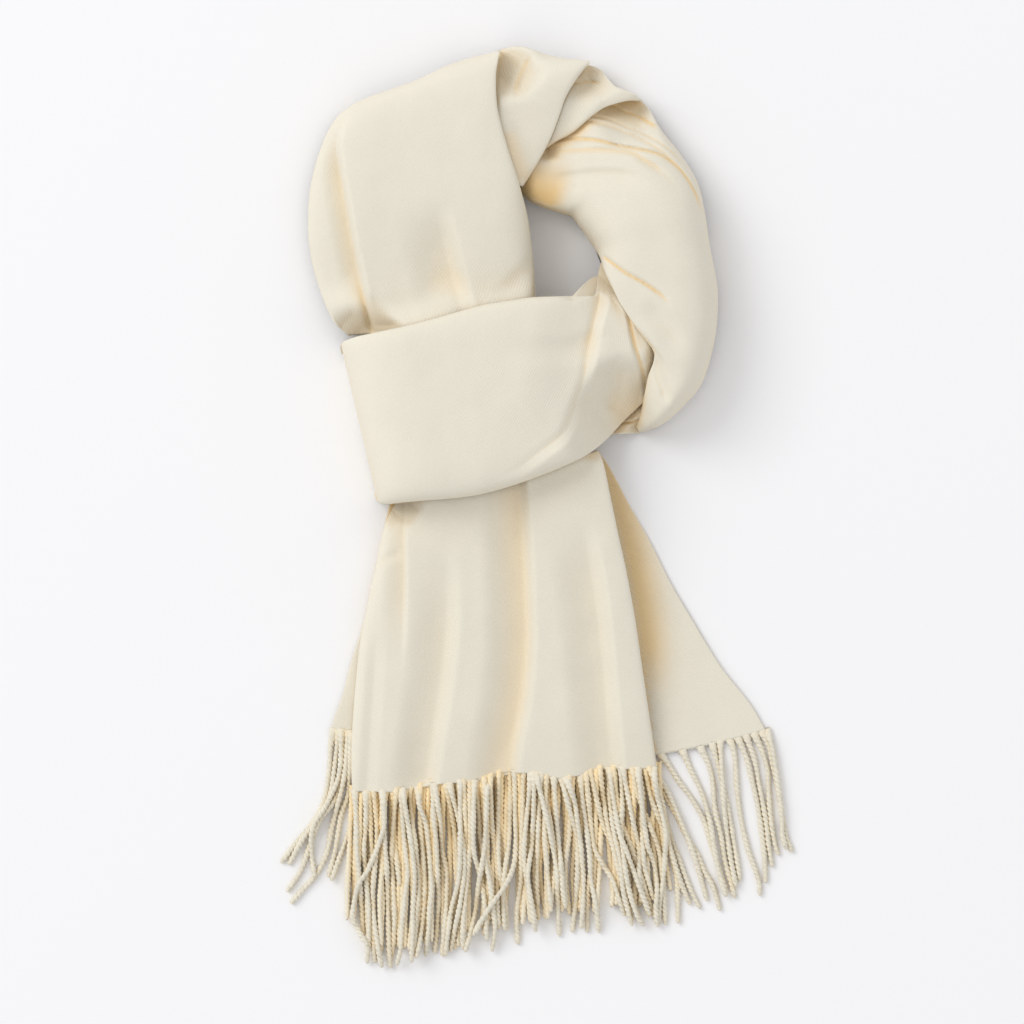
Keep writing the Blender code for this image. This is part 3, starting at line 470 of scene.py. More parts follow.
def crease(plan, line, pixels):           # how deep a crease is at each point, and how much painted warm shade it gets
    points, leftWidth, rightWidth, depth, fadeIn, fadeOut, sharp, warmShade = line
    path = spread(onPlan(points) if pixels else points, cloth["pathSteps"] * len(points))
    steps = np.diff(path, axis=0)
    before = lengthsAlong(path)
    nearest = np.full(plan.shape[:-1], np.inf)
    side = np.ones(nearest.shape)
    along = np.zeros(nearest.shape)
    for start, step, done, end in zip(path, steps, before, before[1:]):
        offset = plan - start
        share = np.clip((offset @ step) / (end - done)**2, 0, 1)
        away = offset - share[..., None] * step
        distance = np.hypot(away[..., 0], away[..., 1])
        closer = distance < nearest
        nearest = np.where(closer, distance, nearest)
        side = np.where(closer, step[0] * away[..., 1] - step[1] * away[..., 0], side)
        along = np.where(closer, (done + share * (end - done)) / before[-1], along)
    width = np.where(side > 0, leftWidth, rightWidth)
    reach = np.clip(nearest / np.where(width == 0, 1, width), 0, 1)
    shape = (1 - sharp) * (1 - reach**2)**2 + sharp * (1 - reach)**2
    shape = np.where(width == 0, 1.0, shape)
    for share, fade in ((along, fadeIn), (1 - along, fadeOut)):
        if fade > 0:
            shape = shape * eased(share / fade)
    fading = np.where(side > 0, cloth["warmShadeLeft"], cloth["warmShadeRight"])
    return depth * shape, warmShade * np.where(width == 0, 0, shape**fading)


def shapeStretch(cut):                    # the outer side of a stretch before it is laid under what covers it
    across, along = cut["cells"]
    rows = np.array(cut["sections"], dtype=float)
    if cut.get("pixels"):
        rows = np.column_stack([onPlan(rows[:, :2]), onPlan(rows[:, 2:4]), rows[:, 4:]])
    leftX, leftY, rightX, rightY, crown, leftRim, rightRim = spread(rows, along + 1).T[:, :, None]
    t = (1 - np.cos(np.pi * np.arange(across + 1) / across)) / 2
    arch = (1 - np.abs(2 * t - 1)**cut["square"])**(1 / cut["square"])
    x = leftX + (rightX - leftX) * t
    y = leftY + (rightY - leftY) * t
    down = np.linspace(0, 1, along + 1)[:, None]
    y = y - cut.get("sag", 0) * down**2 * 4 * t * (1 - t)
    for end, line, share in ((0, "brow", down), (-1, "hem", 1 - down)):     # the end sections bend to their own lines
        if line in cut:
            straight = leftY[end] + (rightY[end] - leftY[end]) * t
            bent = np.interp(x[end], *(onPlan(cut[line]) if cut.get("pixels") else np.array(cut[line])).T)
            y = y + (bent - straight) * np.clip(1 - share / cloth["endShare"], 0, 1)**2
    rim = leftRim + (rightRim - leftRim) * t
    z = rim + (crown - rim) * arch
    # painted warm shade, to which each crease adds
    warmShade = np.zeros(z.shape)
    plan = np.dstack([x, y])
    for line in cut["creases"]:
        depth, shadeShare = crease(plan, line, cut.get("pixels"))
        z = z - depth * arch
        warmShade = np.maximum(warmShade, shadeShare)
    if "lowest" in cut:                   # no crease sinks into the cloth below
        above = z - cut["lowest"]
        stopped = cut["lowest"] + (above + np.sqrt(above**2 + cloth["lowRound"]**2)) / 2
        z = np.where(arch > 0.5, stopped, z)
    for index in np.ndindex(z.shape):     # no cloth lies quite even
        spot = Vector((x[index] / cloth["waves"][0], y[index] / cloth["waves"][1], len(cut["sections"])))
        uneven = noise.noise(spot) + cloth["fineShare"] * noise.noise(cloth["fineWaves"] * spot)
        z[index] += cloth["softness"] * arch[index[1]] * uneven
    return {"points": np.dstack([x, y, z]), "warmShade": warmShade, "arch": arch[None, :] + 0 * z}


def rollEdges(shape):                     # the side edges turn under
    points = shape["points"]
    inward = points[:, -1:, :2] - points[:, :1, :2]
    inward = inward / np.linalg.norm(inward, axis=2, keepdims=True)
    sides = []
    for edge, way in ((points[:, :1], inward), (points[:, -1:], -inward)):
        radius = np.minimum(cloth["rollRadius"], 0.5 * edge[..., 2:])
        rolled = []
        for turn in np.radians(cloth["rollTurns"]):
            rolled.append(np.concatenate([edge[..., :2] + way * radius * (1 - math.cos(turn)),
                                          edge[..., 2:] - radius * math.sin(turn)], axis=2))
        sides.append(rolled)
    rolls = len(cloth["rollTurns"])
    return (np.concatenate(sides[0][::-1] + [points] + sides[1], axis=1),
            np.pad(shape["warmShade"], ((0, 0), (rolls, rolls)), mode="edge"))


# A height map holds one height for each of its cells. A map of the lowest cloth has noCloth where there is none.
mapCell, mapLow, mapSize, noCloth = 0.8, np.array([-200.0, -330.0]), (812, 500), 999.0
neighbours = [(dy, dx, mapCell * math.hypot(dy - 1, dx - 1))
              for dy in range(3) for dx in range(3) if (dy, dx) != (1, 1)]


def cellsOf(spots):                       # each spot's column and row on a height map
    return np.moveaxis(np.round((spots - mapLow) / mapCell).astype(int), -1, 0)


def onMap(points, low, pick, part=4):     # a height map of some cloth, from densely spaced points on it
    level = np.full(mapSize, low)
    for v in np.linspace(0, 1, part + 1)[:-1]:
        for u in np.linspace(0, 1, part + 1)[:-1]:
            dense = ((1 - v) * ((1 - u) * points[:-1, :-1] + u * points[:-1, 1:])
                     + v * ((1 - u) * points[1:, :-1] + u * points[1:, 1:])).reshape(-1, 3)
            column, row = cellsOf(dense[:, :2])
            pick.at(level, (row, column), dense[:, 2])
    return level


def lowestOf(grids):                      # a map of the lowest of several stretches
    return np.min([onMap(points, noCloth, np.minimum) for points in grids], axis=0)


def shifted(level, dy, dx, fill):
    return np.pad(level, 1, constant_values=fill)[dy:dy + mapSize[0], dx:dx + mapSize[1]]


def readMap(level, spots):
    column, row = ((spots - mapLow) / mapCell).transpose(2, 0, 1)
    left, low = column.astype(int), row.astype(int)
    u, v = column - left, row - low
    return ((1 - v) * ((1 - u) * level[low, left] + u * level[low, left + 1])
            + v * ((1 - u) * level[low + 1, left] + u * level[low + 1, left + 1]))


def layUnder(shape, covers, hug):         # fits a stretch under its covers, and brings it up close to their edges
    points = shape["points"]
    cover = lowestOf([rollEdges(cover)[0] for cover in covers])
    under, bare = cover - cloth["thickness"], cover == noCloth
    room = under
    for _ in range(cloth["roomSteps"]):
        for dy, dx, gap in neighbours:
            room = np.minimum(room, shifted(room, dy, dx, noCloth) + cloth["steepest"] * gap)
    edge = ~bare & np.any([shifted(bare, dy, dx, False) for dy, dx, gap in neighbours], axis=0)
    lift = np.where(edge, under, -noCloth)
    for _ in range(cloth["reach"]):
        for dy, dx, gap in neighbours:
            lift = np.maximum(lift, shifted(lift, dy, dx, -noCloth) - cloth["lean"] * gap)
    spots = points[..., :2]
    free = readMap(room, spots) - cloth["clearance"]
    raised = readMap(lift, spots) - cloth["clearance"]
    z = points[..., 2]
    change = np.clip(raised - z, 0, cloth["mostLift"]) * hug * shape["arch"]
    change = np.minimum(z + change, free) - z
    for _ in range(cloth["smoothing"]):   # only the change is smoothed, so that creases stay
        around = np.pad(change, 1, mode="edge")
        change = 0.5 * change + 0.125 * (around[:-2, 1:-1] + around[2:, 1:-1] + around[1:-1, :-2] + around[1:-1, 2:])
        change = np.minimum(change, free - z)
    low = np.minimum(z, cloth["least"])
    return {**shape, "points": np.dstack([spots, np.maximum(z + change, low)])}


shapes = {name: shapeStretch(cut) for name, cut in stretches.items()}
print("stretches shaped")
for name, covers in layOrder:
    shapes[name] = layUnder(shapes[name], [shapes[cover] for cover in covers], stretches[name]["hug"])
print("stretches laid under each other")


hollow = {"ways": 16, "distances": (1.6, 2.8, 4.4, 6.4, 9, 13, 18, 25), "oneSided": 0.25, "from": 0.15, "to": 0.68,
          "shadeShare": 0.95}


def hollowShadeOf(points, level):              # how much painted warm shade lies between folds, from how much of the sky they hide
    sides = []
    for way in 2 * np.pi * np.arange(hollow["ways"]) / hollow["ways"]:
        steepest = np.zeros(points.shape[:-1])
        for distance in hollow["distances"]:
            column, row = cellsOf(points[..., :2] + distance * np.array([math.cos(way), math.sin(way)]))
            steepest = np.maximum(steepest, (level[row, column] - points[..., 2]) / distance)
        sides.append(steepest / np.sqrt(1 + steepest**2))
    half = hollow["ways"] // 2
    between = np.minimum(sides[:half], sides[half:]).mean(axis=0)
    hidden = between + hollow["oneSided"] * np.mean(sides, axis=0)
    return hollow["shadeShare"] * np.clip((hidden - hollow["from"]) / (hollow["to"] - hollow["from"]), 0, 1)


def arcLengths(points, axis):
    steps = np.linalg.norm(np.diff(points, axis=axis), axis=2)
    return np.pad(np.cumsum(steps, axis=axis), ((1, 0), (0, 0)) if axis == 0 else ((0, 0), (1, 0)))


def makeCloth(name, cut, points, warmShade):
    across, along = arcLengths(points, 1), arcLengths(points, 0)
    half = points.shape[1] // 2           # the weave is measured from the stretch's middle line
    across -= across[:, half:half + 1]
    weave = np.dstack([across, along[:, half:half + 1] + 0 * across]).reshape(-1, 2) * mm
    bm = bmesh.new()
    bmesh.ops.create_grid(bm, x_segments=points.shape[1] - 1, y_segments=points.shape[0] - 1, size=1)
    # each point keeps how much painted warm shade its colour gets
    paintedShade = bm.verts.layers.float.new("paintedShade")
    for vert, point, shadeShare in zip(bm.verts, points.reshape(-1, 3), warmShade.reshape(-1)):
        vert.co = Vector(point) * mm
        vert[paintedShade] = shadeShare
    mapLayer = bm.loops.layers.uv.new("weave")
    bm.verts.index_update()
    for face in bm.faces:
        face.smooth = True
        for loop in face.loops:
            loop[mapLayer].uv = weave[loop.vert.index]
    bm.normal_update()
    if sum(face.normal.z * face.calc_area() for face in bm.faces) < 0:
        bmesh.ops.reverse_faces(bm, faces=bm.faces)
    piece = finishPiece(name, bm, cut.get("twill", twillRising), cut["nodes"])
    wall = piece.modifiers.new("thickness", "SOLIDIFY")
    wall.thickness = cloth["thickness"] * mm
    wall.offset = -1
    return piece


def finishPiece(name, bm, finish, nodes):
    mesh = bpy.data.meshes.new(name)
    bm.to_mesh(mesh)
    bm.free()
    mesh.materials.append(finish)
    piece = bpy.data.objects.new(name, mesh)
    bpy.context.scene.collection.objects.link(piece)
    if nodes:
        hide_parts(*nodes)
    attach(piece, "root")
    return piece


made, sizes = {}, {}
rolled = {name: rollEdges(shape) for name, shape in shapes.items()}
clothTops = np.max([onMap(points, 0.0, np.maximum) for points, warmShade in rolled.values()], axis=0)
for name, cut in stretches.items():
    points, warmShade = rolled[name]
    # painted warm shade in the hollows between folds, as well as in the creases
    warmShade = np.maximum(warmShade, cut.get("shaded", 1.0) * hollowShadeOf(points, clothTops))
    made[name] = makeCloth(name, cut, points, warmShade)
    sizes[name] = (float(arcLengths(points, 1)[:, -1].mean()) * mm, float(arcLengths(points, 0)[-1].mean()) * mm)
print("cloth made:", len(made), "stretches")

# The folded layers inside each bundle, as they show round its sides.
# Outline columns: left x, left y, right x, right y.
stack = {"bulge": 1.4, "pinch": 0.2, "wander": 0.7, "wave": 17, "apart": 5.0,
         "sections": 60, "step": 2.0, "under": 3.0, "least": 1.0,
         "rings": (0.12, 0.3, 0.5, 0.7, 0.88, 1.0)}         # how far down a fold each of its rings is
lowFolds = {"floor": 0.0, "folds": 2, "foldHeight": 3.2}
leftLayers = {
    **lowFolds, "nodes": ("left_layers",),
    "outline": [(-115.5, 247, -26.5, 280), (-119, 237.5, -29, 261), (-121, 217.5, -27, 242.5),
                (-118.5, 192.5, -21, 220.5), (-129, 183, -14, 199), (-129, 167.5, -8.5, 179), (-127, 152, -5.5, 161),
                (-120, 136, -4, 145.5), (-109, 122.5, -3.5, 133), (-96.5, 109.5, -3, 121)],
}
crownLayers = {
    **lowFolds, "nodes": ("crown_layers",),
    "outline": [(-19, 279, -11, 206), (-9, 283, -5, 203), (5.5, 278, 2, 198), (22.5, 271, 11.5, 193),
                (34, 264.5, 19, 190.5), (44.5, 259, 25.5, 187.5), (57, 252, 33.5, 186), (67, 242.5, 46, 183),
                (75, 228, 61.5, 182), (83.5, 213.5, 75, 181), (88.3, 199.5, 83, 180), (90.3, 190, 88.3, 180)],
}
rightLayers = {
    **lowFolds, "nodes": ("right_layers",),
    "outline": [(32.5, 175, 102.5, 171), (38, 168, 105, 159), (47, 161, 107, 145), (54.5, 151, 106, 131),
                (58.5, 139, 103, 118), (63, 126, 102, 102), (68, 114, 102, 88.5), (76, 103, 98.5, 80.5),
                (77.5, 94, 95, 75), (74.5, 82.5, 90, 68.5), (72, 74, 84.5, 62), (71, 66, 78.5, 57)],
}
knotLayers = {
    **lowFolds, "nodes": ("knot_layers",),
    "outline": [(-119, 92, -96, 10), (-109, 94, -83, 12), (-94.5, 96, -66.5, 16), (-73, 100, -51, 20),
                (-48, 105, -35.5, 24), (-23, 109, -19.5, 27.5), (1, 113, -4, 31.5), (14.5, 121, 10.5, 35),
                (27, 124, 24, 38.5), (37, 126, 33.5, 42), (43.5, 122, 40, 46.5), (48.5, 112, 45.5, 52.5),
                (53, 99, 51, 59), (57, 84, 57, 65)],
}
tailLayers = {
    "nodes": ("tail_layers",), "floor": 3.8, "folds": 1, "foldHeight": 2.2,
    "outline": [(-84, 0, 33, 28.5), (-90.5, -14, 40, 10), (-95, -35.5, 45.5, -15), (-100, -59, 51, -40.5),
                (-105, -85.5, 57, -71), (-108.5, -114, 61, -100), (-110.5, -142, 65.5, -130),
                (-111, -174, 70.5, -160)],
}


def evenly(line, gap):                    # points a given distance apart along a line, and how far along each is
    place = lengthsAlong(line)
    wanted = np.linspace(0, place[-1], int(place[-1] / gap) + 1)
    return np.column_stack([np.interp(wanted, place, column) for column in line.T]), wanted


def foldedStack(name, layers):
    rows = spread(layers["outline"], stack["sections"])
    outline = evenly(np.vstack([rows[:, :2], rows[::-1, 2:], rows[:1, :2]]), stack["step"])[0][:-1]
    slope = np.roll(outline, -1, axis=0) - np.roll(outline, 1, axis=0)
    outward = np.column_stack([slope[:, 1], -slope[:, 0]]) / np.hypot(*slope.T)[:, None]
    if np.sum((outline - outline.mean(axis=0)) * outward) < 0:
        outward = -outward
    outline = outline - layers.get("inset", 0) * outward
    floor = layers["floor"]
    tops = np.full(len(outline), floor + layers["folds"] * layers["foldHeight"])
    if "covers" in layers:                # it stays under the cloth that is drawn over it
        under = lowestOf([rolled[cover][0] for cover in layers["covers"]])
        under = np.min([under] + [shifted(under, dy, dx, noCloth) for dy, dx, gap in neighbours], axis=0)
        tops = np.clip(readMap(under, outline[None])[0] - stack["under"], floor + stack["least"], tops)
    bm = bmesh.new()
    ring = [bm.verts.new(Vector((*spot, top)) * mm) for spot, top in zip(outline, tops)]
    rim = [bm.edges.new(pair) for pair in zip(ring, ring[1:] + ring[:1])]
    bmesh.ops.contextual_create(bm, geom=rim)
    order = {vert: count for count, vert in enumerate(ring)}
    for count in range(layers["folds"]):
        for share in stack["rings"]:
            grown = bmesh.ops.extrude_edge_only(bm, edges=rim)["geom"]
            below = {}
            for vert in [item for item in grown if isinstance(item, bmesh.types.BMVert)]:
                above = [edge.other_vert(vert) for edge in vert.link_edges if edge.other_vert(vert) in order]
                place = below[vert] = order[above[0]]
                spot = Vector((*outline[place] / stack["wave"], stack["apart"] * count))
                curve = math.sqrt(max(0.0, 1 - (2 * share - 1)**2))
                bulge = stack["pinch"] + (stack["bulge"] + stack["wander"] * noise.noise(spot)) * curve
                height = tops[place] - (tops[place] - floor) * (count + share) / layers["folds"]
                vert.co = Vector((*outline[place] + outward[place] * bulge, height)) * mm
            order = below
            rim = [item for item in grown if isinstance(item, bmesh.types.BMEdge) and item.is_boundary]
    bmesh.ops.contextual_create(bm, geom=rim)
    bmesh.ops.recalc_face_normals(bm, faces=bm.faces)
    mapLayer = bm.loops.layers.uv.new("weave")
    for face in bm.faces:
        face.smooth = len(face.verts) == 4
        for loop in face.loops:
            loop[mapLayer].uv = (loop.vert.co.x + loop.vert.co.z, loop.vert.co.y)
    area = 0.5 * sum(face.calc_area() for face in bm.faces)
    width = float(np.ptp(outline[:, 0])) * mm
    piece = finishPiece(name, bm, twillFalling, layers["nodes"])
    sizes[name] = (width, area / width)
    return piece


# The inner folds fill each bundle from the lower ones up to the cloth over it.
inner = {"nodes": (), "floor": 6.4, "inset": 5.0}
innerLayers = {
    "leftInnerFolds": {**leftLayers, **inner, "folds": 4, "foldHeight": 3.0, "covers": ("leftLoopCloth",)},
    "crownInnerFolds": {**crownLayers, **inner, "folds": 3, "inset": 7.0,
                        "covers": ("leftLoopCloth", "crownFoldCloth", "crownTurnCloth", "rightRingCloth")},
    "rightInnerFolds": {**rightLayers, **inner, "folds": 7, "foldHeight": 3.5, "covers": ("rightRingCloth",)},
    "knotInnerFolds": {**knotLayers, **inner, "folds": 8, "foldHeight": 3.4,
                       "covers": ("bandCloth", "rightRingCloth", "endFoldsCloth", "loopPeekCloth")},
}
for name, layers in {"leftFolds": leftLayers, "crownFolds": crownLayers, "rightFolds": rightLayers,
                     "knotFolds": knotLayers, "tailFolds": tailLayers, **innerLayers}.items():
    made[name] = foldedStack(name, layers)
print("folded layers made")

yarnCut = {
    "ply": 1.36, "apart": 0.46,           # the radius of a ply, and how far its middle is from the strand's
    "twist": 6.4, "turn": 0.37,           # the length of a turn, and how much each strand is turned from the last
    "around": 12, "ringGap": 0.62, "facet": 0.9, "pathSteps": 30,
    "swells": ((0.07, 7.3, 1.0), (0.05, 2.9, 2.1)),         # how far, over what length, and how each strand differs
    "rootHalf": 3.0, "rootThick": 0.5, "rootRun": 14.0, "rootLow": 1.2, "start": 0.4, "tipRun": 3.5, "tipShare": 0.5,
    "slope": 0.42, "rootSlope": 1.3, "leadRun": 9.0, "even": 2.5, "sink": 1.3,
    # painted warm shade near a root, in the gaps between strands and where the plies meet
    "rootShadeRun": 60.0, "deepRun": 12.0, "deepRootShade": 0.6, "gapShade": 0.5, "notchShade": 0.06,
}
# Each row is the line of one strand from root to tip, read off the photo in its pixels.
backLeftStrands = [
    [(332, 727), (329, 748), (328, 768), (325, 791), (320, 810), (309, 828), (293, 847), (279, 866)],
    [(337, 729), (335, 752), (332, 777), (328, 800), (314, 824), (299, 845), (287, 868)],
    [(343, 732), (342, 777), (332, 804), (318, 824), (307, 851), (299, 874), (285, 895)],
    [(347, 735), (343, 778), (336, 808), (330, 831), (326, 853), (316, 876), (301, 893), (289, 907)],
    [(340, 731), (338, 775), (326, 805), (312, 828), (310, 855), (313, 880)],
    [(350, 736), (347, 793), (340, 816), (334, 851), (327, 880)],
    [(356, 740), (354, 800), (350, 825), (343, 847), (336, 866), (330, 884)],
    [(360, 740), (358, 810), (355, 840), (350, 868), (345, 888)],
    [(364, 742), (360, 815), (355, 843), (349, 864), (346, 893), (346, 915)],
]
backRightStrands = [
    [(640, 762), (662, 791), (675, 812), (686, 835), (698, 855), (706, 874), (715, 890), (722, 914)],
    [(640, 768), (655, 790), (664, 810), (672, 838), (682, 866), (692, 892), (702, 912)],
    [(648, 762), (660, 778), (672, 800), (684, 828), (695, 856), (704, 886), (709, 904)],
    [(662, 758), (671, 768), (680, 783), (694, 802), (706, 824), (713, 847), (721, 870), (729, 897)],
    [(684, 752), (693, 773), (704, 796), (712, 826), (718, 862), (728, 900)],
    [(702, 748), (711, 768), (715, 787), (717, 812), (723, 839), (727, 864), (733, 886), (737, 901)],
    [(714, 746), (722, 775), (729, 806), (735, 838), (740, 868), (742, 884)],
    [(722, 741), (724, 777), (726, 808), (729, 835), (733, 864), (738, 890)],
    [(732, 737), (737, 758), (739, 787), (743, 820), (750, 851), (758, 874), (762, 888), (762, 899)],
    [(740, 736), (748, 758), (754, 781), (760, 808), (764, 835), (767, 862), (768, 886)],
    [(748, 735), (757, 762), (762, 790), (768, 822), (771, 848), (775, 870)],
    [(756, 732), (764, 752), (770, 773), (771, 793), (773, 820), (777, 845), (781, 858)],
    [(764, 732), (771, 748), (776, 772), (781, 793), (785, 820), (790, 843), (795, 855)],
    [(769, 733), (775, 752), (780, 785), (784, 815), (785, 838), (789, 852)],
]
underStrands = [
    [(368, 778), (370, 840), (372, 880), (371, 920), (374, 966)],
    [(373, 778), (376, 840), (372, 893), (374, 930), (381, 971)],
    [(392, 778), (394, 840), (396, 862), (399, 888)],
    [(396, 778), (391, 850), (393, 900), (394, 925), (391, 962)],
    [(409, 776), (411, 820), (415, 850), (418, 890), (415, 925), (413, 960)],
    [(420, 775), (420, 830), (424, 880), (423, 915), (419, 945), (416, 961)],
    [(444, 775), (451, 815), (456, 850), (458, 890), (452, 925), (455, 953)],
    [(463, 774), (466, 840), (463, 880), (460, 920), (458, 950)],
    [(469, 774), (470, 840), (467, 880), (463, 925), (463, 953)],
    [(484, 773), (486, 830), (487, 860), (492, 890), (488, 920), (483, 938)],
    [(490, 771), (492, 830), (497, 868), (497, 905), (499, 932)],
    [(499, 768), (498, 830), (499, 868), (505, 905), (507, 934)],
    [(510, 765), (509, 840), (505, 870), (503, 900), (505, 933)],
    [(524, 764), (522, 830), (521, 880), (517, 915), (518, 948)],
    [(541, 765), (548, 810), (553, 840), (556, 872), (550, 907)],
    [(547, 766), (545, 830), (547, 865), (549, 890), (551, 908)],
    [(570, 768), (570, 830), (566, 865), (565, 890), (567, 909)],
    [(586, 766), (588, 820), (592, 860), (588, 900), (588, 936)],
    [(590, 764), (603, 824), (611, 843), (620, 864), (627, 895), (633, 925)],
    [(586, 766), (590, 810), (594, 847), (603, 866), (613, 882), (621, 905), (626, 919)],
    [(600, 762), (606, 815), (614, 850), (622, 880), (634, 905), (641, 926)],
    [(614, 760), (620, 815), (632, 850), (640, 872), (648, 898), (656, 920)],
    [(632, 759), (640, 800), (652, 830), (660, 852), (664, 880), (667, 928)],
    [(645, 758), (652, 800), (662, 825), (670, 852), (678, 880), (680, 927)],
    [(648, 758), (662, 800), (668, 835), (676, 866), (684, 890), (692, 908)],
]
frontStrands = [
    [(354, 787), (355, 820), (356, 855), (358, 874), (360, 905), (362, 940)],
    [(365, 786), (365, 820), (363, 850), (365, 880), (368, 925), (366, 967)],
    [(382, 785), (384, 845), (386, 874), (387, 913), (388, 950), (390, 972)],
    [(382, 785), (384, 822), (380, 840), (368, 870), (358, 886), (353, 905), (352, 922), (360, 938), (367, 948)],
    [(400, 783), (403, 835), (405, 855), (407, 874), (405, 893), (403, 909), (401, 932), (400, 951), (396, 969)],
    [(402, 783), (409, 835), (413, 864), (414, 884), (412, 913), (412, 932), (411, 965)],
    [(417, 779), (419, 808), (425, 824), (428, 847), (430, 874), (431, 893), (429, 913), (428, 932), (425, 960)],
    [(433, 778), (433, 816), (436, 847), (437, 874), (438, 903), (436, 935), (434, 957)],
    [(434, 778), (440, 824), (442, 855), (446, 874), (446, 903), (444, 932), (442, 960)],
    [(449, 776), (455, 808), (462, 840), (464, 870), (460, 905), (454, 935), (450, 955)],
    [(460, 776), (460, 845), (459, 874), (456, 893), (451, 913), (448, 932), (445, 959)],
    [(475, 776), (479, 820), (480, 839), (485, 864), (490, 886), (493, 913), (495, 932), (492, 955)],
    [(474, 776), (473, 831), (474, 855), (479, 874), (483, 893), (485, 913), (487, 944)],
    [(487, 775), (486, 820), (484, 850), (479, 884), (475, 913), (471, 932), (465, 955)],
    [(515, 766), (515, 816), (516, 843), (514, 866), (506, 886), (494, 903), (483, 920), (473, 938)],
    [(531, 767), (529, 800), (526, 826), (524, 855), (527, 884), (531, 909), (532, 926)],
    [(534, 768), (534, 808), (532, 845), (528, 880), (533, 912), (536, 935)],
    [(541, 768), (539, 820), (538, 855), (537, 884), (538, 908)],
    [(536, 768), (543, 804), (549, 828), (554, 855), (557, 874), (558, 900), (560, 940)],
    [(554, 770), (556, 808), (558, 835), (561, 864), (563, 890), (566, 911)],
    [(562, 771), (569, 808), (575, 828), (578, 847), (577, 893), (573, 936)],
    [(566, 770), (574, 800), (578, 824), (582, 855), (584, 890), (582, 932)],
    [(581, 768), (583, 800), (587, 831), (590, 855), (592, 885), (597, 910), (600, 936)],
    [(609, 763), (611, 808), (615, 835), (621, 864), (624, 893), (630, 917), (633, 929)],
    [(622, 762), (623, 808), (622, 835), (625, 864), (630, 893), (638, 918), (645, 929)],
    [(624, 762), (634, 824), (640, 852), (640, 880), (646, 905), (651, 920)],
    [(639, 761), (643, 800), (643, 835), (645, 866), (651, 889), (655, 903)],
    [(654, 760), (658, 797), (664, 820), (667, 839), (666, 860), (664, 884), (661, 907), (659, 930)],
    [(638, 761), (642, 800), (648, 845), (655, 866), (658, 889), (657, 913), (659, 930)],
    [(610, 763), (614, 800), (620, 835), (628, 855), (636, 878), (644, 899), (651, 918)],
]
# The lowest strands show only between the others: where they start and end, the gap between them, how they
# sway, how they fan out to each side, and how much shorter some are.
lowest = {"first": 352, "last": 664, "gap": 4.8, "top": 766, "points": 5, "sway": 6.0, "tipSway": 13.2,
          "stray": (1.7, 0.9, 4.2), "fan": 0.04, "fanFrom": 480, "shorter": 14,
          "tips": [(350, 925), (366, 955), (392, 958), (420, 950), (450, 944), (490, 932), (520, 930), (560, 920),
                   (600, 918), (640, 912), (680, 900)]}


def lowestStrands(lowest):
    rows = []
    strayX, strayY, strayZ = lowest["stray"]
    for count, x in enumerate(np.arange(lowest["first"], lowest["last"], lowest["gap"])):
        *stray, tipStray = [noise.noise(Vector((count * strayX, step * strayY, strayZ)))
                            for step in range(lowest["points"] + 1)]
        tipX = x + lowest["tipSway"] * tipStray + lowest["fan"] * (x - lowest["fanFrom"])
        tipY = np.interp(tipX, *np.array(lowest["tips"]).T) - lowest["shorter"] * abs(stray[-1])
        rows.append([(x + (tipX - x + lowest["sway"] * bend) * share, lowest["top"] + (tipY - lowest["top"]) * share)
                     for bend, share in zip(stray, np.linspace(0, 1, lowest["points"]))])
    return rows


# Tuck is how far a root goes in under its hem, drop how far below the hem's top it sits, and the root shade strength
# how much painted warm shade goes on its root.
onTop = {"cut": yarnCut, "tuck": 0.0, "drop": 0.6, "rootShadeStrength": 0.0}
lowestCut = {**yarnCut, "around": 8, "ringGap": 0.95, "slope": 0.2}
fringes = {
    "backLeftFringe": {**onTop, "nodes": ("back_fringe_left",), "strands": backLeftStrands, "hem": "backTailCloth"},
    "backRightFringe": {**onTop, "nodes": ("back_fringe_right",), "strands": backRightStrands,
                        "hem": "backTailCloth"},
    "lowestFringe": {"nodes": (), "strands": lowestStrands(lowest), "hem": "frontTailCloth", "cut": lowestCut,
                     "tuck": 3.0, "drop": 2.8, "rootShadeStrength": 0.6},
    "underFringe": {"nodes": ("under_fringe",), "strands": underStrands, "hem": "frontTailCloth", "cut": yarnCut,
                    "tuck": 3.0, "drop": 2.6, "rootShadeStrength": 0.35},
    "frontFringe": {**onTop, "nodes": ("front_fringe",), "strands": frontStrands, "hem": "frontTailCloth"},
}


def strandLine(row, hem, tuck, yarnCut):  # points spaced a ring's gap apart along a strand, in plan
    plan = onPlan(row)
    plan[0, 1] = np.interp(plan[0, 0], hem[:, 0], hem[:, 1]) + tuck
    first = plan[0] - plan[1]
    plan = np.vstack([plan[0] + first / np.hypot(*first) * yarnCut["start"], plan])
    return evenly(spread(plan, yarnCut["pathSteps"] * len(plan)), yarnCut["ringGap"])


def settle(line, place, rootHeight, heights, yarnCut):      # a strand droops from its root onto what lies below it
    radius = yarnCut["ply"] + yarnCut["apart"]
    column, row = cellsOf(line)
    below = np.max([heights[row + dy, column + dx] for dy in (-1, 0, 1) for dx in (-1, 0, 1)], axis=0)
    support = below + radius - np.clip(below, 0, yarnCut["sink"])
    apart = np.abs(place[:, None] - place[None, :])
    z = np.max(support[None, :] - yarnCut["slope"] * apart, axis=1)
    z = np.maximum(z, rootHeight - yarnCut["slope"] * yarnCut["rootSlope"] * place)
    z = rootHeight + (z - rootHeight) * eased(place / yarnCut["leadRun"])
    wide = np.exp(-(apart / yarnCut["even"])**2)
    z = wide @ z / wide.sum(axis=1)
    for dy in range(-2, 3):               # its own top is what the next strand lies on
        for dx in range(-2, 3):
            off = math.hypot(dx, dy) * mapCell
            if off < radius:
                np.maximum.at(heights, (row + dy, column + dx), z + math.sqrt(radius**2 - off**2))
    return z


